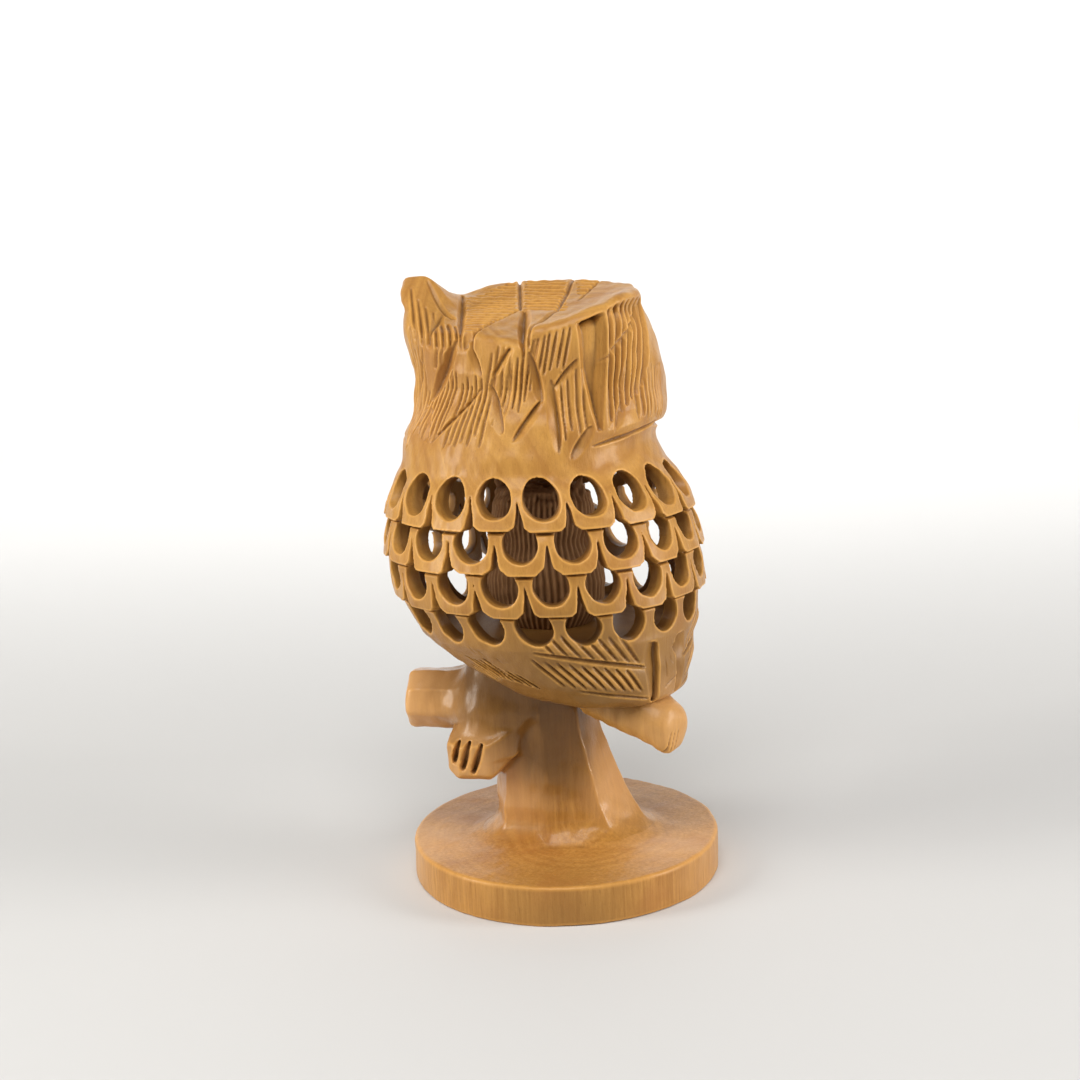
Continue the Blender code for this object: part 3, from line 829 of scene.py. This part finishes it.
def inside_body(points):
    """How far below the owl's outer skin a point lies, from 0 on it to 1 inside the lattice."""
    x, y, z = points[:, 0], points[:, 1], points[:, 2]
    cx, cy = body_axis(z)
    depth = lookup(BODY, 1, z) - np.hypot(x - cx, y - cy)
    return ease(0.9, 2.2, depth) * ease(CAVITY_LOW - 0.6, 44.5, z) * ease(74.0, 73.0, z)


def carve_body():
    block = Block((-31.0, -30.0, 31.8), (30.0, 29.5, 77.2), 0.19)
    field = owl_form(block)
    x, y, z = block.axes
    cx, cy = body_axis(z)
    r = np.hypot(x - cx, y - cy)
    inner = r - (lookup(BODY, 1, z) - WALL)
    cavity = meet(meet(inner, CAVITY_LOW + 0.03 * r - z, 2.0), z - CAVITY_HIGH, 3.0)

    at, px, py, pz = block.near(field, 1.7)
    angle = bearing(px, py, body_axis(pz))
    depth = LATTICE.sheet.read(angle, pz) * (pz > 43.0) * (pz < CAVITY_HIGH)
    depth = depth + BELLY_SHEET.read(angle, pz) * (pz < 48.5)
    above = pz > 73.0
    feathers = np.zeros_like(depth)
    feathers[above] = feather_depth(px[above], py[above], pz[above])
    field[at] += depth * 0.95 + knife_marks(px, py, pz) + feathers * FEATHERS

    wall = (np.abs(inner - 0.5 * WALL + 0.2) < 0.5 * WALL + 3.2) & (z > CAVITY_LOW) & (z < 73.0)
    at, px, py, pz = block.places(wall)
    opening = LATTICE.sheet.read(bearing(px, py, body_axis(pz)), pz, LATTICE.open) * 0.95
    ragged = 0.04 * wander(px, py, pz, 2.2)
    solid = np.maximum(field, -cavity)
    solid[at] = np.maximum(solid[at], -(opening + ragged))
    body = carved_piece("owl_body_carved", block, solid, {"inside": inside_body})
    return cut_level(body, NECK, 1.0)


# The young owl: height, half width and half depth.
YOUNG = (
    (42.4, 6.4, 5.8),
    (43.3, 7.6, 6.9),
    (45.5, 9.2, 8.4),
    (49.5, 10.3, 9.4),
    (54.0, 9.9, 9.0),
    (56.6, 8.7, 8.1),
    (58.2, 8.2, 7.6),
    (60.5, 8.9, 7.9),
    (63.5, 8.9, 7.7),
    (66.0, 7.9, 6.8),
    (67.2, 6.2, 5.2),
    (68.2, 3.0, 2.6),
)
YOUNG_SPLIT = 57.65
FLUTES_ROUND = 54.0


def carve_young_owl():
    block = Block((-9.5, -11.5, 42.6), (14.0, 10.5, 70.5), 0.2)
    x, y, z = block.axes
    dx, dy = x - YOUNG_CENTRE[0], y - YOUNG_CENTRE[1]
    field = oval(dx, dy, lookup(YOUNG, 1, z), lookup(YOUNG, 2, z))
    field = meet(field, z - 67.6, 0.8)
    field = np.maximum(field, 43.1 - z)
    for sign in (1.0, -1.0):
        lean = 5.6 + 0.32 * (z - 62.0)
        ear = np.hypot(dx - sign * lean, dy - 1.0)
        ear = np.maximum(ear - np.clip((69.4 - z) * 0.42, 0.0, 2.8), 61.0 - z)
        field = join(field, ear, 0.8)
    at, px, py, pz = block.near(field, 1.6)
    angle = np.arctan2(py - YOUNG_CENTRE[1], px - YOUNG_CENTRE[0])
    flutes = 0.5 + 0.5 * np.cos(angle * FLUTES_ROUND + 0.9 * np.sin(pz * 0.35))
    flutes = flutes**0.6 * 0.42 * ease(67.5, 65.5, pz)
    front = ease(-0.25, -0.6, np.sin(angle)) * ease(58.0, 59.0, pz)
    rough = 0.22 * wander(px, py, pz, 1.5) * ease(63.5, 66.0, pz) + 0.05 * wander(px, py, pz, 1.8)
    field[at] += flutes * (1.0 - front) + rough
    for sign in (1.0, -1.0):
        r = np.hypot(px - YOUNG_CENTRE[0] - sign * 3.6, pz - 62.6)
        eye = 0.5 * (np.abs(r - 2.5) < 0.4)
        field[at] += np.where(py < YOUNG_CENTRE[1], eye, 0.0)
    young = carved_piece("young_owl_carved", block, field)
    head = twin(young, "young_owl_head_carved")
    young.name = "young_owl_body_carved"
    return cut_level(young, YOUNG_SPLIT, 1.0), cut_level(head, YOUNG_SPLIT, -1.0)


# Both ends of the tail: how far back from the middle, and height.
TAIL_ROOT = (9.0, 35.4)
TAIL_TIP = (25.2, 28.4)
TAIL_POWER = 2.4


def carve_tail():
    block = Block((-28.0, -3.0, 22.0), (-4.0, 14.5, 42.0), 0.2)
    x, y, z = block.axes
    reach, side = turned(x, y, BODY_BACK)
    t = (reach - TAIL_ROOT[0]) / (TAIL_TIP[0] - TAIL_ROOT[0])
    height = TAIL_ROOT[1] + (TAIL_TIP[1] - TAIL_ROOT[1]) * t
    wide = np.interp(t, (0.0, 0.5, 1.0), (7.9, 6.2, 3.6)).astype(np.float32)
    deep = np.interp(t, (0.0, 0.5, 1.0), (6.0, 4.5, 3.9)).astype(np.float32)
    dz = z - height
    ring = squarish(side / wide, dz / deep, TAIL_POWER, 1e-6)
    r = from_middle(side, dz)
    form = (r - r / ring) * 0.85
    form = meet(form, reach - TAIL_TIP[0] - 0.05 * dz, 1.9)
    form = np.maximum(form, TAIL_ROOT[0] + 1.0 - reach)
    form = np.maximum(form, -(body_form(x, y, z) + 0.5))
    at, px, py, pz = block.near(form, 1.4)
    reach, side = turned(px, py, BODY_BACK)
    near_tip = ease(24.9, 25.8, pz) * ease(29.6, 28.4, pz)
    strokes = 0.0
    for line, start in ((-1.9, 22.6), (-0.9, 21.6), (0.2, 21.0)):
        fan = line * (1.25 - 0.05 * (reach - 18.0)) + 0.30 * (pz - 28.0)
        groove = unit(1.0 - np.abs(side - fan) / 0.22) * 0.26
        strokes = strokes + groove * ease(start, start + 1.5, reach) * near_tip
    form[at] += strokes + knife_marks(px, py, pz)
    return carved_piece("tail_carved", block, form)


BASE_HALF_WIDTH = 26.5
BASE_HALF_DEPTH = 27.8
BASE_THICK = 6.7
BASE_SPLIT = 7.4  # where the stump's piece stands on the disc's
LOG_SPLIT = 9.0  # where the log's and the feet's pieces start, along the log
FEET_SPLIT = 3.6  # and how far from its middle line the feet's start
PERCH_STEP = 0.24
# The directions that the stump's flats face, about its middle and 20 mm up.
TRUNK_FLATS = (12.0, 62.0, 100.0, 152.0, 205.0, 262.0, 318.0)
# The log's knife facets: the direction each faces round the log, and its distance from the log's
# middle as a share of LOG_RADIUS.
LOG_FACETS = (
    (8.0, 1.0), (52.0, 0.98), (96.0, 0.98), (140.0, 1.0), (210.0, 1.0), (262.0, 1.0), (318.0, 1.0),
)


def trunk_form(x, y, z):
    """The stump: oval, with the broad flats that the knife left."""
    along, across = turned(x, y, TRUNK_WIDE)
    along = along - lookup(TRUNK, 3, z)
    wide, deep = lookup(TRUNK, 1, z), lookup(TRUNK, 2, z)
    r = from_middle(along, across)
    u, v = along / wide, across / deep
    ring = from_middle(u, v)
    flats = -1.0
    for angle in TRUNK_FLATS:
        turn = np.radians(angle + 0.5 * (z - 20.0))
        flats = meet(flats, u * np.cos(turn) + v * np.sin(turn), 0.03)
    flatness = 0.95 * ease(7.0, 10.0, z) * ease(34.0, 28.0, z)
    ring = ring + (flats * 1.045 - ring) * flatness
    return (r - r / ring) * 0.9


def disc_form(x, y, z):
    side = oval(*turned(x, y, TRUNK_WIDE), BASE_HALF_WIDTH, BASE_HALF_DEPTH)
    return meet(meet(side, z - BASE_THICK, 0.7), -z, 0.5)


def log_form(x, y, z):
    along, across = turned(x, y, LOG_ANGLE)
    dz = z - LOG_HEIGHT
    facets = np.sqrt(across * across + dz * dz) - LOG_RADIUS * 1.07
    for angle, share in LOG_FACETS:
        c, s = direction(angle)
        facets = meet(facets, across * c + dz * s - LOG_RADIUS * share, 0.12)
    end = along - LOG_REACH + 0.03 * dz
    return np.maximum(meet(facets, end, 1.5), 2.0 - along)


FOOT_ALONG = 12.2
FOOT_ASIDE = 8.4
FOOT_LOW = 18.6
# Flat facets of a block of toes: the direction each faces (along the log, outwards, up), its reach.
FOOT_FACETS = (
    (1.0, 0.0, 0.0, 5.7),
    (-1.0, 0.0, 0.0, 6.2),
    (0.0, 1.0, 0.0, 3.7),
    (0.0, -1.0, 0.0, 4.2),
    (0.0, 0.0, -1.0, 0.0),
    (0.62, 0.78, 0.0, 5.0),
    (-0.60, 0.80, 0.0, 4.0),
    (0.70, 0.0, -0.71, 2.6),
    (-0.74, 0.15, -0.66, 1.6),
    (0.0, 0.62, -0.78, 1.5),
    (0.10, 0.42, 0.90, 7.2),
    (0.55, 0.25, 0.80, 8.6),
)
# Slots between the toes: each end's place along the log and its height, from the top down.
TOE_SLOTS = (
    ((15.7, 25.2), (16.6, 22.0)),
    ((13.8, 25.3), (15.0, 21.0)),
    ((11.6, 25.0), (13.2, 20.4)),
)


def foot_form(x, y, z, side):
    """A leg that comes down over the log, and the faceted block of toes at its end."""
    along, across = turned(x, y, LOG_ANGLE)
    across = across * side
    u, v, w = along - FOOT_ALONG, across - FOOT_ASIDE, z - FOOT_LOW
    block = -4.0
    for nu, nv, nw, reach in FOOT_FACETS:
        block = meet(block, nu * u + nv * v + nw * w - reach, 0.35)
    t = unit((z - 24.0) / 15.0)
    lu = (along - (12.0 - 2.6 * t)) / 5.3
    lv = (across - (7.8 - 4.2 * t)) / (3.4 + 0.6 * t)
    leg = np.maximum((from_middle(lu, lv) - 1.0) * 3.6, 23.0 - z)
    return join(block, leg, 1.6)


def toe_slots(x, y, z, side):
    """Depths of the slots that part the toes."""
    along, across = turned(x, y, LOG_ANGLE)
    across = across * side
    total = 0.0
    for (a0, z0), (a1, z1) in TOE_SLOTS:
        du, dv = a1 - a0, z1 - z0
        length = math.hypot(du, dv)
        t = unit(((along - a0) * du + (z - z0) * dv) / length**2)
        away = np.hypot(along - a0 - du * t, z - z0 - dv * t)
        half = 0.34 + t * (1.0 - t) + 0.12 * t
        total = total + unit(1.25 * (1.0 - away / half)) * (0.9 + 0.9 * t)
    return total * ease(FOOT_ASIDE, FOOT_ASIDE + 1.5, across)


def fillet_at(x, y):
    """How softly the stump runs out into the disc: crisp at one side, where the knife stopped."""
    return 3.2 - 2.5 * ease(34.0, 14.0, np.abs(bearing(x, y) - 112.0))


def carve_perch():
    """The disc, the stump, the log and the feet, blended as one form and then parted."""
    block = Block((-28.5, -28.5, -0.6), (30.0, 28.5, 9.0), PERCH_STEP)
    x, y, z = block.axes
    field = join(disc_form(x, y, z), trunk_form(x, y, z), fillet_at(x, y))
    field = np.maximum(np.maximum(field, z - 8.6), -z)
    at, px, py, pz = block.near(field, 1.4)
    field[at] += 0.4 * knife_marks(px, py, pz)
    disc = carved_piece("base_disc_carved", block, field)
    cut_level(disc, BASE_SPLIT, 1.0)

    block = Block((-17.0, -17.5, 5.6), (28.6, 17.5, 40.5), PERCH_STEP)
    x, y, z = block.axes
    trunk = np.maximum(trunk_form(x, y, z), z - 39.0)
    trunk = join(disc_form(x, y, z), trunk, fillet_at(x, y))
    perch = join(trunk, log_form(x, y, z), 1.2)
    for side in (1.0, -1.0):
        perch = join(perch, foot_form(x, y, z, side), 1.0 + 3.6 * ease(25.0, 30.0, z))
    at, px, py, pz = block.near(perch, 1.8)
    slots = toe_slots(px, py, pz, 1.0) + toe_slots(px, py, pz, -1.0)
    perch[at] += slots + 0.8 * knife_marks(px, py, pz)
    perch = np.maximum(perch, np.hypot(x, y) - 27.6)
    stump = carved_piece("tree_stump_carved", block, perch)
    cut_level(stump, BASE_SPLIT, -1.0)
    along, across = direction(LOG_ANGLE), direction(LOG_ANGLE + 90.0)
    front = (along[0] * LOG_SPLIT, along[1] * LOG_SPLIT, 0.0)
    outer = twin(stump, "perch_log_carved")
    cut_flat(stump, front, (*along, 0.0))
    cut_flat(outer, front, (-along[0], -along[1], 0.0))
    pieces = {"tree_stump": stump, "base_disc": disc}
    for side, name in ((1.0, "left_foot"), (-1.0, "right_foot")):
        spot = (across[0] * FEET_SPLIT * side, across[1] * FEET_SPLIT * side, 0.0)
        foot = twin(outer, f"{name}_carved")
        cut_flat(foot, spot, (-across[0] * side, -across[1] * side, 0.0))
        pieces[name] = foot
        cut_flat(outer, spot, (across[0] * side, across[1] * side, 0.0))
    pieces["perch_log"] = outer
    return pieces


# ---- wood


class Nodes:
    """Short ways to build a node tree."""

    def __init__(self, tree):
        self.tree = tree

    def add(self, kind, values=None, **settings):
        node = self.tree.nodes.new(kind)
        for key, value in settings.items():
            setattr(node, key, value)
        for key, value in (values or {}).items():
            if isinstance(value, bpy.types.NodeSocket):
                self.tree.links.new(value, node.inputs[key])
            else:
                node.inputs[key].default_value = value
        return node

    def times(self, a, b):
        return self.add("ShaderNodeMath", {0: a, 1: b}, operation="MULTIPLY").outputs[0]

    def plus(self, a, b):
        return self.add("ShaderNodeMath", {0: a, 1: b}, operation="ADD").outputs[0]

    def vector(self, operation, a, b=(0.0, 0.0, 0.0)):
        """Gives the vector math node itself, whose result may be a vector or a value."""
        return self.add("ShaderNodeVectorMath", {0: a, 1: b}, operation=operation)

    def attribute(self, name):
        return self.add("ShaderNodeAttribute", attribute_name=name).outputs["Fac"]

    def span(self, value, low, high, to_low=0.0, to_high=1.0):
        values = {"Value": value, "From Min": low, "From Max": high, "To Min": to_low, "To Max": to_high}
        return self.add("ShaderNodeMapRange", values).outputs[0]

    def mix(self, factor, a, b):
        node = self.add("ShaderNodeMix", data_type="RGBA")
        for index, value in ((0, factor), (6, a), (7, b)):
            if isinstance(value, bpy.types.NodeSocket):
                self.tree.links.new(value, node.inputs[index])
            elif index:
                node.inputs[index].default_value = (*value, 1.0)
            else:
                node.inputs[index].default_value = value
        return node.outputs[2]

    def noise(self, place, scale, detail, roughness=0.55, distortion=0.0):
        """Noise; scale is how often it repeats along each axis, per unit of place."""
        values = {"Scale": 1.0, "Detail": detail, "Roughness": roughness, "Distortion": distortion}
        values["Vector"] = self.vector("MULTIPLY", place, scale).outputs[0]
        return self.add("ShaderNodeTexNoise", values).outputs["Fac"]


def new_material(name):
    material = bpy.data.materials.new(name)
    material.use_nodes = True
    return material, Nodes(material.node_tree), material.node_tree.nodes["Principled BSDF"]


STAIN = (0.36, 0.140, 0.030)
CUT_SHADE = (0.155, 0.064, 0.016)
SHADE_BROWN = (0.120, 0.052, 0.012)
PAINTED_LIGHT_TAN = (0.70, 0.375, 0.145)
OLIVE = (0.235, 0.115, 0.026)
PITH = (-5.0, 4.0, 0.0)
RING_SCALE = 0.85


def wood(name, colours, finish, bump=0.10, rings=0.45, raw=0.0, patches=()):
    """Wood with upright grain: growth rings round the pith, fibre streaks, pores and stains.

    colours are the light, the dark and the deepest tone, and finish is the roughness, the coat's
    strength and the coat's roughness. rings is the share of the growth rings in the tone, and raw
    how far it all goes to the deepest tone. Each patch is a stretch painted another colour, most
    of them painted shade or painted light: its middle in millimetres, how far it reaches, how
    strong it is, its colour. Painted shade also darkens the cuts, the hollows and the owl's lower
    body, and the edges are painted paler.
    """
    light, dark, deep = colours
    roughness, coat, coat_roughness = finish
    material, nodes, shader = new_material(name)
    place = nodes.add("ShaderNodeTexCoord").outputs["Object"]
    millimetres = nodes.vector("MULTIPLY", place, (1.0 / MM, 1.0 / MM, 1.0 / MM)).outputs[0]

    bend = nodes.noise(millimetres, (0.05, 0.05, 0.02), 2.0)
    flat = nodes.vector("MULTIPLY", millimetres, (1.0, 1.0, 0.04)).outputs[0]
    pith = nodes.vector("SUBTRACT", flat, PITH).outputs[0]
    distance = nodes.vector("LENGTH", pith).outputs["Value"]
    warped = nodes.plus(distance, nodes.times(bend, 9.0))
    settings = {"Scale": RING_SCALE, "Detail": 3.0, "W": warped}
    years = nodes.add("ShaderNodeTexNoise", settings, noise_dimensions="1D").outputs["Fac"]
    fibres = nodes.noise(millimetres, (1.9, 1.9, 0.09), 4.0, 0.6, 0.2)
    fine = nodes.noise(millimetres, (7.0, 7.0, 0.45), 2.0)
    blotch = nodes.noise(millimetres, (0.07, 0.07, 0.05), 3.0)
    tone = nodes.plus(nodes.times(years, rings), nodes.times(fibres, 0.80 - rings))
    tone = nodes.plus(tone, nodes.times(blotch, 0.45))
    colour = nodes.mix(nodes.span(tone, 0.47, 0.77), light, dark)

    def tint(amount, shade):
        nonlocal colour
        colour = nodes.mix(amount, colour, shade)

    tint(nodes.times(nodes.span(fine, 0.60, 0.74), 0.35), deep)
    speckle = nodes.noise(millimetres, (3.1, 3.1, 2.2), 4.0, 0.65)
    tint(nodes.span(speckle, 0.52, 0.68, 0.0, 0.30), dark)
    stain = nodes.noise(millimetres, (0.11, 0.11, 0.08), 4.0)
    tint(nodes.span(stain, 0.53, 0.70, 0.0, 0.52), STAIN)

    # Painted shade: the owl's lower body is painted darker towards the bottom, where it faces down.
    height = nodes.add("ShaderNodeSeparateXYZ", {0: millimetres}).outputs["Z"]
    height = nodes.plus(height, nodes.times(stain, 6.0))
    low = nodes.times(nodes.span(height, 60.0, 42.0, 0.0, 0.60), nodes.span(height, 33.0, 37.0))
    tint(low, SHADE_BROWN)
    ragged = nodes.times(stain, 0.5)
    for middle, reach, strength, shade in patches:
        away = nodes.vector("DISTANCE", millimetres, middle).outputs["Value"]
        away = nodes.plus(nodes.times(away, 1.0 / reach), ragged)
        tint(nodes.span(away, 1.3, 0.6, 0.0, strength), shade)

    # Painted shade darkens the wide hollows and the cuts, and the edges are painted paler, as rubbed
    # wear and painted highlight. The wood round the cavity is darker still.
    tint(nodes.span(nodes.attribute("sunk"), 0.55, 0.78, 0.0, 0.55), deep)
    hollow = nodes.attribute("hollow")
    tint(nodes.span(hollow, 0.52, 0.70, 0.0, 0.80), CUT_SHADE)
    edge_wear_and_highlight = tuple(min(1.0, 1.30 * value) for value in light)
    tint(nodes.span(hollow, 0.47, 0.36, 0.0, 0.60), edge_wear_and_highlight)
    inside = nodes.attribute("inside")
    tint(nodes.times(inside, 0.62), deep)
    if raw:
        tint(raw, deep)

    rough = nodes.plus(nodes.times(fibres, 0.16), roughness - 0.08)
    rough = nodes.plus(rough, nodes.times(inside, 0.25))
    grit = nodes.noise(millimetres, (2.6, 2.6, 1.7), 4.0, 0.7)
    grain = nodes.plus(nodes.times(fibres, 0.7), nodes.times(fine, 0.5))
    grain = nodes.plus(grain, nodes.times(grit, 1.5 * roughness))
    values = {"Strength": 0.5, "Distance": bump * MM, "Height": grain}
    relief = nodes.add("ShaderNodeBump", values).outputs["Normal"]
    nodes.tree.links.new(colour, shader.inputs["Base Color"])
    nodes.tree.links.new(rough, shader.inputs["Roughness"])
    nodes.tree.links.new(relief, shader.inputs["Normal"])
    shader.inputs["Specular IOR Level"].default_value = 0.38
    shader.inputs["Specular Tint"].default_value = (1.0, 0.80, 0.58, 1.0)
    shader.inputs["Coat Weight"].default_value = coat
    shader.inputs["Coat Roughness"].default_value = coat_roughness
    return material


GOLDEN = wood(
    "golden_wood_look",
    ((0.56, 0.285, 0.064), (0.40, 0.180, 0.036), (0.095, 0.037, 0.009)),
    (0.42, 0.22, 0.24),
    bump=0.16,
    patches=(
        # Painted shade on the front of the wing, which faces down.
        ((-14.0, 17.0, 41.0), 15.0, 0.80, OLIVE),
        # Painted light on the tail's lit side.
        ((-22.0, 6.6, 29.5), 9.0, 0.45, PAINTED_LIGHT_TAN),
    ),
)
POLISHED = wood(
    "polished_wood_look",
    ((0.53, 0.258, 0.056), (0.34, 0.145, 0.027), (0.09, 0.034, 0.008)),
    (0.34, 0.26, 0.16),
    rings=0.36,
    patches=(
        # Painted shade on the stump's top under the belly, partly darker lacquer.
        ((-3.0, 11.0, 22.0), 8.5, 0.80, SHADE_BROWN),
        ((2.0, 2.5, 37.0), 25.0, 0.92, SHADE_BROWN),
        # Painted highlights on the stump's lit sides, and painted light on the log's end.
        ((6.5, 7.5, 14.0), 8.5, 0.55, PAINTED_LIGHT_TAN),
        ((-10.0, -2.0, 16.0), 9.0, 0.60, PAINTED_LIGHT_TAN),
        ((10.0, 13.0, 21.5), 7.0, 0.60, PAINTED_LIGHT_TAN),
        ((27.0, 7.0, 31.0), 14.0, 0.80, PAINTED_LIGHT_TAN),
    ),
)
SATIN = wood(
    "satin_wood_look",
    ((0.57, 0.280, 0.066), (0.36, 0.155, 0.030), (0.09, 0.034, 0.008)),
    (0.44, 0.20, 0.22),
    rings=0.22,
    patches=(
        # The olive patch darkens the front of the rim.
        ((-11.4, 24.5, -4.0), 17.0, 0.55, OLIVE),
        # Painted light on the disc's top at both sides.
        ((22.0, 14.0, 8.0), 14.0, 0.45, PAINTED_LIGHT_TAN),
        ((-22.0, 2.0, 8.0), 12.0, 0.35, PAINTED_LIGHT_TAN),
    ),
)
RAW = wood(
    "raw_wood_look",
    ((0.36, 0.185, 0.080), (0.22, 0.100, 0.040), (0.08, 0.036, 0.014)),
    (0.72, 0.0, 0.3),
    bump=0.16,
    raw=0.2,
)


SHARP_ANGLE = 62.0  # edges sharper than this many degrees aren't smoothed
CAP_CORNERS = 8  # faces with more corners are the flat caps


def sharpen_rims(mesh):
    """Makes the rims sharp round the flat faces that close a piece where it was cut."""
    corners = np.empty(len(mesh.polygons), np.int32)
    mesh.polygons.foreach_get("loop_total", corners)
    for index in np.nonzero(corners > CAP_CORNERS)[0]:
        for loop in mesh.polygons[index].loop_indices:
            mesh.edges[mesh.loops[loop].edge_index].use_edge_sharp = True


def finish_piece(obj, material, slot, *nodes):
    obj.data.materials.clear()
    obj.data.materials.append(material)
    obj.data.shade_smooth()
    obj.data.set_sharp_from_angle(angle=math.radians(SHARP_ANGLE))
    sharpen_rims(obj.data)
    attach(obj, "root")
    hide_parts(*nodes)


def build():
    finish_piece(carve_head(), GOLDEN, "golden_wood", "owl_head")
    finish_piece(carve_body(), GOLDEN, "golden_wood", "owl_body_cage", "left_wing", "right_wing")
    young_body, young_head = carve_young_owl()
    finish_piece(young_body, RAW, "raw_wood", "young_owl_body")
    finish_piece(young_head, RAW, "raw_wood", "young_owl_head")
    finish_piece(carve_tail(), GOLDEN, "golden_wood", "tail")
    pieces = carve_perch()
    for name, slot, material in (
        ("base_disc", "polished_wood", SATIN),
        ("tree_stump", "polished_wood", POLISHED),
        ("perch_log", "polished_wood", POLISHED),
        ("left_foot", "golden_wood", POLISHED),
        ("right_foot", "golden_wood", POLISHED),
    ):
        finish_piece(pieces[name], material, slot, name)


# ---- floor, light and camera


VIEW_AZIMUTH = 205.0
CAMERA_DISTANCE = 0.280
CAMERA_HEIGHT = 0.1116
CAMERA_TILT = 77.6
CAMERA_ROLL = -2.2
SWEEP_START = 0.55  # how far behind the owl the floor starts to curve up
SWEEP_RADIUS = 0.35
SWEEP_PARTS = 24
SWEEP_REACH = 1.6  # how far the sweep goes up, and to each side
AIM = (0.0, 0.0, 0.055)  # the middle of the owl, where the lights point
LIGHT_DISTANCE = 0.50
# Lights: name, azimuth from the camera's side to the right, elevation, size, power, colour.
LIGHTS = (
    ("left", -74.0, 19.0, (0.15, 0.34), 1.70, (1.0, 0.98, 0.94)),
    ("right", 76.0, 13.0, (0.16, 0.36), 1.85, (1.0, 0.98, 0.96)),
    ("top", -8.0, 56.0, (0.28, 0.28), 1.55, (1.0, 1.0, 1.0)),
)


def make_floor():
    """A pale studio sweep: a floor that curves up behind the owl."""
    profile = [(-1.2, 0.0), (0.0, 0.0), (SWEEP_START, 0.0)]
    for i in range(1, SWEEP_PARTS + 1):
        angle = math.radians(90.0 * i / SWEEP_PARTS)
        away = SWEEP_START + SWEEP_RADIUS * math.sin(angle)
        profile.append((away, SWEEP_RADIUS * (1.0 - math.cos(angle))))
    profile.append((SWEEP_START + SWEEP_RADIUS, SWEEP_REACH))
    data = bmesh.new()
    rows = []
    for across in (-SWEEP_REACH, 0.0, SWEEP_REACH):
        rows.append([data.verts.new((across, away, height)) for away, height in profile])
    for left, right in zip(rows, rows[1:]):
        for i in range(len(profile) - 1):
            data.faces.new((left[i], right[i], right[i + 1], left[i + 1]))
    mesh = bpy.data.meshes.new("floor")
    data.to_mesh(mesh)
    data.free()
    mesh.shade_smooth()
    floor = new_object("floor", mesh)
    floor.rotation_euler[2] = math.radians(VIEW_AZIMUTH)
    material, nodes, shader = new_material("pale_floor")
    place = nodes.add("ShaderNodeTexCoord").outputs["Object"]
    mottle = nodes.noise(place, (9.0, 9.0, 9.0), 3.0)
    colour = nodes.mix(mottle, (0.66, 0.655, 0.645), (0.64, 0.635, 0.625))
    nodes.tree.links.new(colour, shader.inputs["Base Color"])
    shader.inputs["Roughness"].default_value = 0.7
    mesh.materials.append(material)


def add_area(name, place, away, size, power, colour):
    """A soft box that faces against the direction away."""
    light = bpy.data.lights.new(name, "AREA")
    light.shape = "RECTANGLE"
    light.size, light.size_y = size
    light.energy = power
    light.color = colour
    obj = new_object(name, light)
    obj.location = place
    obj.rotation_mode = "QUATERNION"
    obj.rotation_quaternion = away.to_track_quat("Z", "Y")


def make_light():
    scene = bpy.context.scene
    scene.world = bpy.data.worlds.new("studio")
    scene.world.use_nodes = True
    background = scene.world.node_tree.nodes["Background"]
    background.inputs["Color"].default_value = (1.0, 0.97, 0.92, 1.0)
    background.inputs["Strength"].default_value = 0.24
    for name, azimuth, elevation, size, power, colour in LIGHTS:
        a, e = math.radians(VIEW_AZIMUTH + azimuth), math.radians(elevation)
        away = Vector((math.sin(a) * math.cos(e), -math.cos(a) * math.cos(e), math.sin(e)))
        add_area(name, Vector(AIM) + away * LIGHT_DISTANCE, away, size, power, colour)
    # One more lights the sweep behind the owl.
    a = math.radians(VIEW_AZIMUTH)
    behind = Vector((-math.sin(a), math.cos(a), 0.0))
    place = behind * 0.30 + Vector((0.0, 0.0, 0.50))
    target = behind * 0.90 + Vector((0.0, 0.0, 0.22))
    add_area("backdrop", place, place - target, (1.6, 0.25), 9.0, (1.0, 1.0, 1.0))
    scene.view_settings.view_transform = "Standard"


def make_camera():
    camera = bpy.data.cameras.new("camera")
    camera.lens = 56.17
    camera.sensor_width = 36.0
    camera.shift_x = -0.01546
    camera.shift_y = 0.0420
    camera.clip_start = 0.01
    turn = Matrix.Rotation(math.radians(VIEW_AZIMUTH), 4, "Z")
    stand = Matrix.Translation((0.0, -CAMERA_DISTANCE, CAMERA_HEIGHT))
    tilt = Matrix.Rotation(math.radians(CAMERA_TILT), 4, "X")
    roll = Matrix.Rotation(math.radians(CAMERA_ROLL), 4, "Z")
    obj = new_object("camera", camera)
    obj.matrix_world = turn @ stand @ tilt @ roll
    bpy.context.scene.camera = obj


make_camera()
make_light()
make_floor()
build()
